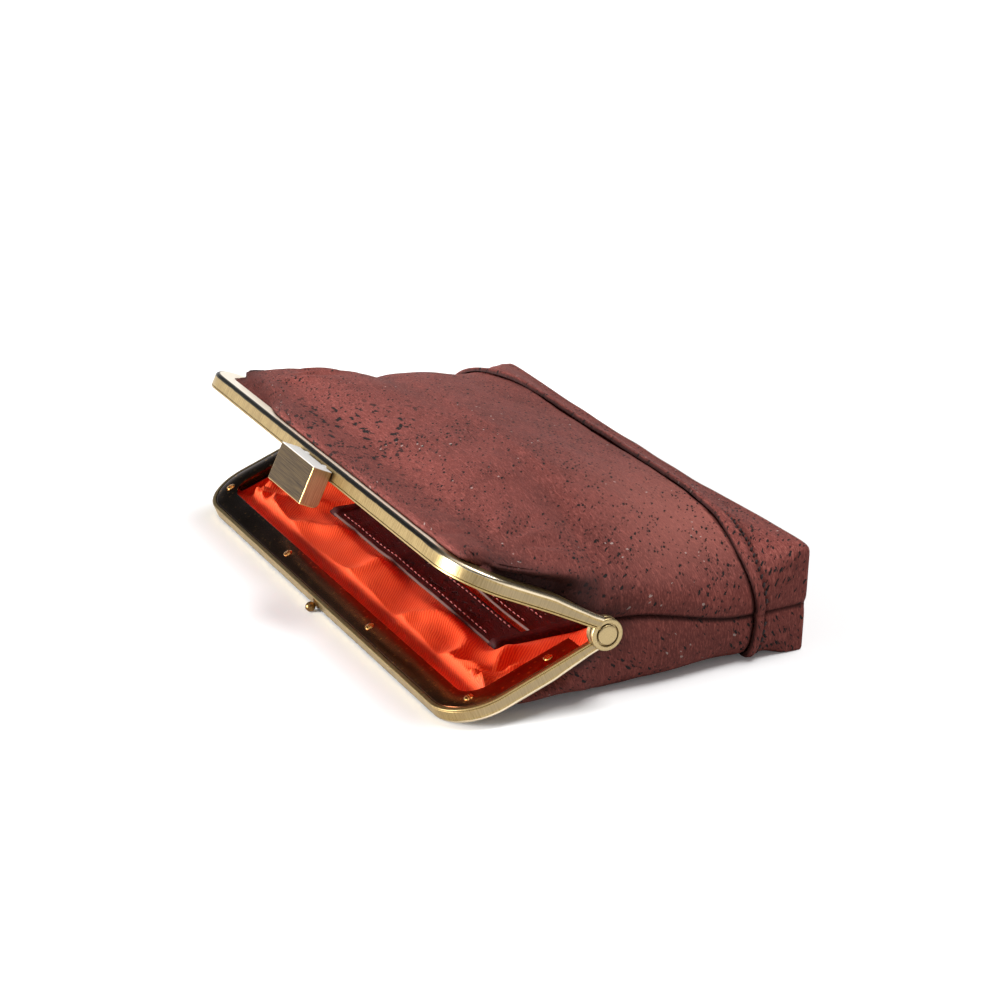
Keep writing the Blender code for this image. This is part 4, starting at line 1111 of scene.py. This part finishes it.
def fold_line(grid):
    """Where the band's folded edge lies: bent towards the mouth at both ends."""
    x = np.abs(grid[..., 0])
    up = np.clip(np.abs(grid[..., 2] - BOTTOM_SEAM) / (17 * MM), 0, 1)
    bend = np.where(grid[..., 0] > 0, FOLD_BEND_NEAR, FOLD_BEND_FAR) * (x / (85 * MM)) ** 3
    return FOLD_MIDDLE - bend + 2.6 * MM * (1 - up) * (x / (87 * MM)) ** 8


def out_of_bag(grid, side):
    """Unit directions out of the bag at each point."""
    normal = normals_of(grid)
    return normal * np.sign(np.median(normal[..., 2]) * side)


def round_corner(past_x, past_y):
    """Distance from a corner's centre and the angle round it, for folds that fan out there."""
    return np.hypot(past_x, past_y), np.arctan2(-past_y, past_x)


def creases(x, y, seed):
    """Height of hills, pleats and creases over the panel, in metres."""
    hills = 0.26 * MM * ripple(x, y, 19 * MM, seed) + 0.12 * MM * ripple(x, y, 7.5 * MM, seed + 1)
    hills = hills + 0.05 * MM * ripple(x, y, 2.6 * MM, seed + 2)
    away, turn = round_corner(np.abs(x) - (HALF_WIDTH - CORNER), y + REACH - CORNER)
    pleat = np.cos(turn * 9 + 2.2 * ripple(x, y, 40 * MM, seed + 3))
    hills = hills + 0.55 * MM * pleat * grows(away, 6, 5) * fades(away, 13, 14) * (y < -8 * MM)
    return hills * grows(depth_in_frame(x, y) - FLANGE, 0, 5)


def above_rim(grid, place, side):
    """Height over the frame's flange, square to the half's plane; large where there is no flange."""
    y, z = grid[..., 1] - hinge[1], side * (grid[..., 2] - hinge[2])
    height = z * math.cos(TILT[side]) + y * math.sin(TILT[side])
    return np.where(place < 2 * MM, height - RIM_TOP, 1.0)


def panel_depth(base, place, side, past_fold, over_seam):
    """The depth of each point: painted shade at seams, folds, under the roll and round the lugs, painted
    highlight at the front's near end.
    """
    # Painted shade along the side seam behind the hinge, and in a thin line under the band's folded edge.
    depth = grows(place, -2, 6) * fades(over_seam, 0.2, 0.8)
    depth = np.maximum(depth, fades(np.abs(past_fold + 0.35 * MM), 0, 0.65))
    # Painted shade on the wall under the roll beside the arms.
    under = roll_height(place) * (side > 0) + 1.0 * MM
    wall = 0.95 * grows(place, -36, 5) * fades(place, -9, 20)
    depth = np.maximum(depth, wall * fades(above_rim(base, place, side) - under, -1.0, 3.2))
    # Painted shade round the lugs, near the seam.
    lug = bell(place - 1 * MM, 9) * fades(np.abs(over_seam), 0, 12)
    depth = np.maximum(depth, 0.9 * lug * (np.abs(base[..., 0]) > 70 * MM))
    if side < 0:
        return depth
    # Painted highlight: depth goes below 0 over the front's near half behind the hinge.
    painted_light = grows(place, 4, 34) * grows(base[..., 0], 5, 60) * grows(base[..., 2] - hinge[2], 3, 9)
    return depth - 0.4 * painted_light * (1 - np.clip(depth, 0, 1))


def make_panel(name, side, seed):
    """Outer face from the bag's formula with creases, inner face a cloth's thickness in."""
    place = row_places(BAND_LINE + UNDER_BAND)
    base = bag_surface(side, place, box_walk(42, 186))
    past_fold = place - fold_line(base)
    lift = creases(base[..., 0], place + 0 * past_fold, seed) - PANEL_SINK * grows(past_fold, -0.5, 1.3)
    outer = base + out_of_bag(base, side) * lift[..., None]
    over_seam = side * (base[..., 2] - hinge[2] + SEAM_DROP * grows(place, 8, 34))
    sewn = grows(place, -2, 6) * fades(over_seam, 0.3, 1.5)
    outer[..., 2] = outer[..., 2] + (base[..., 2] - outer[..., 2]) * sewn
    inner = outer - out_of_bag(outer, side) * CORK_SHEET
    if side < 0:
        outer[..., 2] = np.maximum(outer[..., 2], FLOOR_GAP)
        inner[..., 2] = np.maximum(inner[..., 2], 0.9 * MM)
    depth = panel_depth(base, place, side, past_fold, over_seam)
    return shell(name, outer, inner, cork, depth=depth, smooth_angle=75)


front = make_panel("front_panel_cork", 1, 3)
back = make_panel("back_panel_cork", -1, 8)
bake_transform(front)
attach(back, "back_half")
for panel, half in ((front, "front"), (back, "back")):
    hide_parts(f"{half}_panel")
    print(panel.name, len(panel.data.polygons), "quads")

# %% [markdown]
# ## The bottom band
#
# The band is cut separately and lies over the panels. Its edge is turned under and
# topstitched, which makes a rounded ridge with a dark groove below it. Painted shade
# darkens that groove, the stitch line, the bottom seam and the end face towards it, and
# a painted highlight lightens the ridge's crest. It closes the bottom too, where the
# front and back bands meet in the seam.

# %% Band
BAND_STEPS = 46
STITCH_BACK = 3.0 * MM
BAND_CREST = 1.45 * MM
BOTTOM_ROUND = 1.2 * MM


def fold_on(side, box):
    """Places of the band's folded edge for each column of a box walk."""
    return fold_line(bag_surface(side, np.full((1, 1), 44 * MM), box))


def make_band(name, side, seed):
    """Rows from the fold line to the bottom edge, round it, and down the end face."""
    box = box_walk(30, 150)
    start = fold_on(side, box)
    share = np.linspace(0, 1, BAND_STEPS)[:, None] ** 1.25
    place = start * (1 - share) + (DEPTH - BOTTOM_ROUND) * share
    base = bag_surface(side, place, box)
    past = place - start
    crest = BAND_CREST * rounded(past + 0.05 * MM, 0.8 * MM) * fades(past, 1.9, 1.1)
    flat = 0.25 * MM * grows(past, 1.9, 1.1)
    lip, edge = crest + flat, -0.2 * MM * (past < 0.02 * MM)
    sewn = -0.3 * MM * bell(past - STITCH_BACK, 0.45)
    hills = 0.14 * MM * ripple(base[..., 0], place, 11 * MM, seed)
    outer = base + out_of_bag(base, side) * (lip + edge + sewn + hills)[..., None]
    if side < 0:
        outer[..., 2] = np.maximum(outer[..., 2], FLOOR_GAP)
    last = outer[-1]
    up = BOTTOM_SEAM - last[:, 2]
    to_seam = np.sign(up) * np.minimum(1, np.abs(up) / (2 * BOTTOM_ROUND))
    more = []
    for angle in np.linspace(0, math.pi / 2, 7)[1:]:
        ring = last.copy()
        turned_in = BOTTOM_ROUND * (1 - math.cos(angle))
        ring[:, 0] -= np.sign(last[:, 0]) * turned_in * (np.abs(last[:, 0]) / (87 * MM)) ** 6
        ring[:, 1] += BOTTOM_ROUND * math.sin(angle)
        ring[:, 2] += turned_in * to_seam
        more.append(ring)
    face = more[-1]
    for t in np.linspace(0, 1, 14)[1:]:
        ring = face.copy()
        ring[:, 2] = face[:, 2] + (BOTTOM_SEAM - face[:, 2]) * t
        ring[:, 1] += (DEPTH + hinge[1] - face[:, 1]) * smoothstep(t)
        more.append(ring)
    outer = np.concatenate([outer, np.array(more)])
    inner = outer - out_of_bag(outer, side) * CORK_SHEET
    inner[BAND_STEPS:] = outer[BAND_STEPS:]
    inner[BAND_STEPS - 1 :, :, 1] -= CORK_SHEET
    uv = lengths_of(outer)
    uv[BAND_STEPS:, :, 1] += (place[-1] - DEPTH) / MM - uv[BAND_STEPS - 1, :, 1]
    uv[:BAND_STEPS, :, 1] = (place - DEPTH) / MM
    # Painted shade at the stitch line and in the groove before the fold, and a painted highlight, below 0,
    # on the ridge's crest.
    dark = 0.25 * bell(past - STITCH_BACK, 0.40) + fades(past, 0, 0.5) - 0.6 * bell(past - 1.1 * MM, 0.6)
    depth = np.zeros(outer.shape[:2])
    # Painted shade along the bottom seam and, in the last rows, down the end face towards it.
    depth[:BAND_STEPS] = np.maximum(dark, fades(np.abs(base[..., 2] - BOTTOM_SEAM), 0.2, 0.7))
    depth[-3:] = np.array([0.2, 0.6, 1.0])[:, None]
    return shell(name, outer, inner, cork, uv=uv, depth=depth, smooth_angle=75)


for name, side, seed in (("front_bottom_band_cork", 1, 21), ("back_bottom_band_cork", -1, 22)):
    band = make_band(name, side, seed)
    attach(band, "back_half")
    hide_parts(name.replace("_cork", ""))
    print(name, len(band.data.polygons), "quads")

# %% [markdown]
# ## Lining
#
# The lining is a second bag of thin twill inside the cork one, gripped by the same rim.
# It is cut a little large, so it hangs in soft folds: broad ones across the mouth and
# sharp creases that run into the corners. It is the bag's formula again, moved inwards.

# %% Lining
TWILL_SHEET = 0.4 * MM
FOLD_CENTRE_X, FOLD_CENTRE_Y = 74 * MM, 27 * MM


def lining_folds(x, y, seed):
    """Folds that stand into the bag, in metres: broad waves, and creases at the corners."""
    hills = ripple(x + 0.9 * y, y * 0.6 - 0.2 * x, 17 * MM, seed) * 0.5 + 0.5
    ridge = 1 - np.abs(ripple(0.8 * x + 0.6 * y, 0.7 * y - 0.3 * x, 21 * MM, seed + 4))
    folds = 2.2 * MM * hills**1.4 + 2.2 * MM * np.clip(ridge, 0, 1) ** 4
    folds = folds + 0.25 * MM * ripple(x + 0.5 * y, y, 6 * MM, seed + 2)
    away, turn = round_corner(np.abs(x) - FOLD_CENTRE_X, y + FOLD_CENTRE_Y)
    crease = np.abs(np.sin(turn * 3.5 + 0.8 * ripple(x, y, 60 * MM, seed + 1)))
    return folds + 2.0 * MM * (1 - crease) ** 1.3 * (grows(away, 1, 5) * fades(away, 12, 16))


def lining_face(side, place, box, seed=31):
    """The bag's surface, moved in past the cork with its folds, and how low each point lies, which sets
    painted shade.
    """
    base = bag_surface(side, place, box, lip=False)
    base[..., 0] -= np.clip(base[..., 0], -1.3 * MM, 1.3 * MM) * grows(place, 2, 8)
    x = base[..., 0]
    place = place + 0 * x
    open_part = grows(depth_in_frame(x, place), 7.5, 4)
    clear = 1.3 * MM + 1.6 * MM * np.maximum(open_part, grows(place, -6, 8))
    clear = clear + 1.0 * MM * grows(place, 30, 8)
    folds = lining_folds(x, place, seed) * open_part
    if side < 0:
        folds = folds * (1 - 0.85 * (grows(place, -23, 4) * fades(np.abs(x), 54, 6)))
    return base - out_of_bag(base, side) * (clear + folds)[..., None], fades(folds, 0, 1.7)


def make_lining(name, side, seed):
    """A sheet of twill from the frame's groove down to the bottom seam."""
    outer, painted_valley_shade = lining_face(side, row_places(DEPTH - 4.0 * MM, 0.8 * MM), box_walk(24, 130), seed)
    inner = outer - out_of_bag(outer, side) * TWILL_SHEET
    inner[-1:, :, 1] -= TWILL_SHEET
    rows = []
    for face in (outer, inner):
        bottom = face[-1:].copy()
        bottom[..., 2] = BOTTOM_SEAM
        rows.append(np.concatenate([face, bottom]))
    painted_valley_shade = np.concatenate([painted_valley_shade, painted_valley_shade[-1:]])
    return shell(name, *rows, twill, depth=painted_valley_shade, smooth_angle=75)


for half, side, seed in (("front", 1, 34), ("back", -1, 31)):
    lining = make_lining(f"{half}_lining_twill", side, seed)
    if side > 0:
        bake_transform(lining)
    else:
        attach(lining, "back_half")
    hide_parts(f"{half}_lining")
    print(lining.name, len(lining.data.polygons), "quads")

# %% [markdown]
# ## Card pocket
#
# A facing strip of dark cork lies by the mouth and the pocket's front sheet lies behind
# it, with the card slot between them. Both ends are bound with a narrow rolled strip, and
# all of it is sewn to the back lining, so every part is worked out on the lining's face.

# %% Pocket
POCKET_START = -19.0 * MM
STRIP_WIDTH = 9.5 * MM
SLOT_GAP = 1.2 * MM
SHEET_START = POCKET_START + STRIP_WIDTH + SLOT_GAP
SHEET_DEPTH = 40.0 * MM
POCKET_HALF = 52.0 * MM
POCKET_SHEET = 0.8 * MM


def on_lining(places, x, lift):
    """Points on the back lining's inner face at these places and x, lifted by lift."""
    face, _ = lining_face(-1, places[:, None], box_walk(24, 400))
    normal = -out_of_bag(face, -1)
    face = face + normal * (TWILL_SHEET + 0.05 * MM)
    grid = np.empty((len(places), len(x), 3))
    for row, (line, up) in enumerate(zip(face, normal)):
        order = np.argsort(line[:, 0])
        known = line[order, 0]
        grid[row] = between(x, known, line[order]) + between(x, known, up[order]) * lift[row][:, None]
    return grid


def pocket_waves(x, from_start):
    """Slow waves of the sewn cork along the pocket, in metres."""
    return 0.25 * MM * ripple(x[None, :], from_start[:, None] * 3, 21 * MM, 71)


def pocket_sheet(name, start, length, base_lift, curl):
    """A sheet with rounded edges and an edge that curls up towards the mouth."""
    half, edge = POCKET_HALF, np.linspace(0, 0.6 * MM, 5)
    rows = np.concatenate([edge, np.linspace(1.0 * MM, length - 1.0 * MM, 24), length - edge[::-1]])
    middle = np.linspace(1.2 * MM - half, half - 1.2 * MM, 90)
    columns = np.concatenate([edge - half, middle, (half - edge)[::-1]])
    from_rows, from_columns = np.minimum(rows, length - rows), np.minimum(columns + half, half - columns)
    from_edge = np.minimum(from_rows[:, None], from_columns[None, :])
    lift = base_lift + curl * np.exp(-rows / (2.5 * MM))[:, None] + 0 * from_edge
    lift = lift + pocket_waves(columns, rows)
    top = lift + POCKET_SHEET * (0.35 + 0.65 * rounded(from_edge, 0.45 * MM))
    outer, inner = on_lining(start + rows, columns, top), on_lining(start + rows, columns, lift)
    uv = both_ways(columns[None, :], rows[:, None])
    return shell(name, outer, inner, pocket_cork, uv=uv, smooth_angle=60)


def pocket_binding(name, sign):
    """A rolled strip over the pocket's end: half a round across, from the mouth inwards."""
    rows = np.linspace(0, SHEET_START + SHEET_DEPTH - POCKET_START, 60)
    columns = np.linspace(POCKET_HALF - 1.0 * MM, POCKET_HALF + 3.4 * MM, 17)
    share = np.linspace(-1, 1, 17)
    ends = rounded(np.minimum(rows, rows[-1] - rows), 1.0 * MM)
    top = 0.1 * MM + 1.6 * MM * ((1 - share**4) ** 0.5)[None, :] * (0.35 + 0.65 * ends[:, None])
    top = top + 0.16 * MM * ripple(rows, rows * 0, 3.5 * MM, 73)[:, None]
    outer = on_lining(POCKET_START + rows, columns * sign, top)
    inner = on_lining(POCKET_START + rows, columns * sign, 0 * top)
    uv = both_ways(rows[:, None], columns[None, :])
    return shell(name, outer, inner, pocket_cork, uv=uv, smooth_angle=60)


pocket = {
    "pocket_facing_strip": pocket_sheet("pocket_strip_cork", POCKET_START, STRIP_WIDTH, 0.1 * MM, 0.3 * MM),
    "pocket_front_sheet": pocket_sheet("pocket_sheet_cork", SHEET_START, SHEET_DEPTH, 0.2 * MM, 0.8 * MM),
    "pocket_right_binding": pocket_binding("pocket_binding_right", 1),
    "pocket_left_binding": pocket_binding("pocket_binding_left", -1),
}
for solid, made in pocket.items():
    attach(made, "back_half")
    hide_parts(solid)
print("pocket pieces", [made.name for made in pocket.values()])

# %% [markdown]
# ## Topstitching
#
# Each stitch is a short piece of thread that comes out of one hole and goes into the
# next, so it is highest in its middle and its ends dive into the cloth. All stitches of a
# seam are one mesh: rings of points round a small arch, repeated along the line.

# %% Stitches
ARCH_POINTS = 7
BAND_STITCH = {"pitch": 2.1 * MM, "length": 1.5 * MM, "radius": 0.34 * MM, "lean": 0.7 * MM}
POCKET_STITCH = {"pitch": 2.6 * MM, "length": 1.8 * MM, "radius": 0.17 * MM}


def stitch_row(name, line, normal, finish, pitch, length, radius, lean=0.0):
    """Arched tubes along a line of points: where they are, how they stand and how they lean."""
    so_far = walked(line)
    starts = np.arange(pitch / 2, so_far[-1] - length - pitch / 4, pitch)
    share = np.linspace(0, 1, ARCH_POINTS)
    place = (starts[:, None] + length * share[None, :]).reshape(-1)
    centre, up = between(place, so_far, line), between(place, so_far, normal)
    up = up / np.linalg.norm(up, axis=1, keepdims=True)
    centre, up = centre.reshape(-1, ARCH_POINTS, 3), up.reshape(-1, ARCH_POINTS, 3)
    ahead = centre[:, -1:] - centre[:, :1]
    ahead = ahead / np.linalg.norm(ahead, axis=2, keepdims=True)
    side = np.cross(ahead, up)
    arch = np.sin(math.pi * share)[None, :, None] * radius * 1.5 - 0.7 * radius
    centre = centre + up * arch + side * (lean * (share - 0.5))[None, :, None]
    thick = radius * np.sqrt(np.clip(1 - (2 * share - 1) ** 4, 0, 1))[None, :, None, None]
    angle = np.linspace(0, 2 * math.pi, ARCH_POINTS)[None, None, :, None]
    rings = centre[:, :, None] + thick * (np.cos(angle) * up[:, :, None] + np.sin(angle) * side[:, :, None])
    first = np.arange(len(starts)) * ARCH_POINTS**2
    faces = (quads_of(ARCH_POINTS, ARCH_POINTS)[None] + first[:, None, None]).reshape(-1, 4)
    uv = both_ways(place.reshape(-1, ARCH_POINTS, 1), share[None, None, :] * MM)
    return piece(name, rings, faces, uv, finish, smooth_angle=None, merge=1e-7)


def band_stitches(name, side):
    """A row of stitches on the band, a little behind its folded edge, and pressed in on the floor."""
    box = box_walk(60, 300)
    face = bag_surface(side, fold_on(side, box) + STITCH_BACK + np.array([-0.4, 0, 0.4])[:, None] * MM, box)
    out = out_of_bag(face, side)
    line = (face + out * 0.12 * MM)[1]
    line[:, 2] = np.maximum(line[:, 2], 0.67 * MM)
    keep = slice(4, -4)
    return stitch_row(name, line[keep], out[1][keep], wine_thread, **BAND_STITCH)


for half, side in (("front", 1), ("back", -1)):
    seam = band_stitches(f"{half}_band_stitches", side)
    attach(seam, "back_half")

x = np.linspace(-POCKET_HALF + 2 * MM, POCKET_HALF - 3 * MM, 240)
for label, place, lift in (
    ("strip_outer", POCKET_START + 1.6 * MM, 1.35 * MM),
    ("strip_inner", POCKET_START + STRIP_WIDTH - 1.5 * MM, 1.2 * MM),
    ("sheet_outer", SHEET_START + 1.5 * MM, 1.9 * MM),
    ("sheet_inner", SHEET_START + 7.5 * MM, 1.35 * MM),
):
    rows = place + np.array([-0.5, 0, 0.5]) * MM
    grid = on_lining(rows, x, lift + pocket_waves(x, rows - POCKET_START))
    name, up = f"pocket_stitches_{label}", out_of_bag(grid, 1)[1]
    seam = stitch_row(name, grid[1], up, pink_thread, **POCKET_STITCH)
    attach(seam, "back_half")
print("stitches made")

# %% [markdown]
# ## What is cloth
#
# Every sheet is listed with the flat size it would be cut to, and the print shows that
# flat area beside the area of its face. A panel is cut wide enough to reach down both
# sides to the seam, and the linings are cut a little larger than the room they hang in.
# The band's cut goes round three sides and closes the bottom.


def cloth_area(made):
    """Area of one face of a closed sheet: half of all its faces."""
    size = np.empty(len(made.data.polygons))
    made.data.polygons.foreach_get("area", size)
    return size.sum() / 2


sheets = {
    "front_panel_cork": ((0.205, 0.098), "stretched", ["front_frame", "back_bottom_band_cork"]),
    "back_panel_cork": ((0.205, 0.098), "stretched", ["back_frame", "back_bottom_band_cork"]),
    "front_bottom_band_cork": ((0.215, 0.032), "folded", ["front_panel_cork"]),
    "back_bottom_band_cork": ((0.215, 0.032), "folded", ["back_panel_cork"]),
    "front_lining_twill": ((0.205, 0.118), "hung", ["front_frame"]),
    "back_lining_twill": ((0.205, 0.118), "hung", ["back_frame"]),
    "pocket_strip_cork": ((2 * POCKET_HALF, STRIP_WIDTH + MM), "laid", ["back_lining_twill"]),
    "pocket_sheet_cork": ((2 * POCKET_HALF, SHEET_DEPTH), "laid", ["back_lining_twill"]),
}
for name, (flat, held, under) in sheets.items():
    made = bpy.data.objects[name]
    print(name, "flat", round(flat[0] * flat[1], 5), "area", round(cloth_area(made), 5))
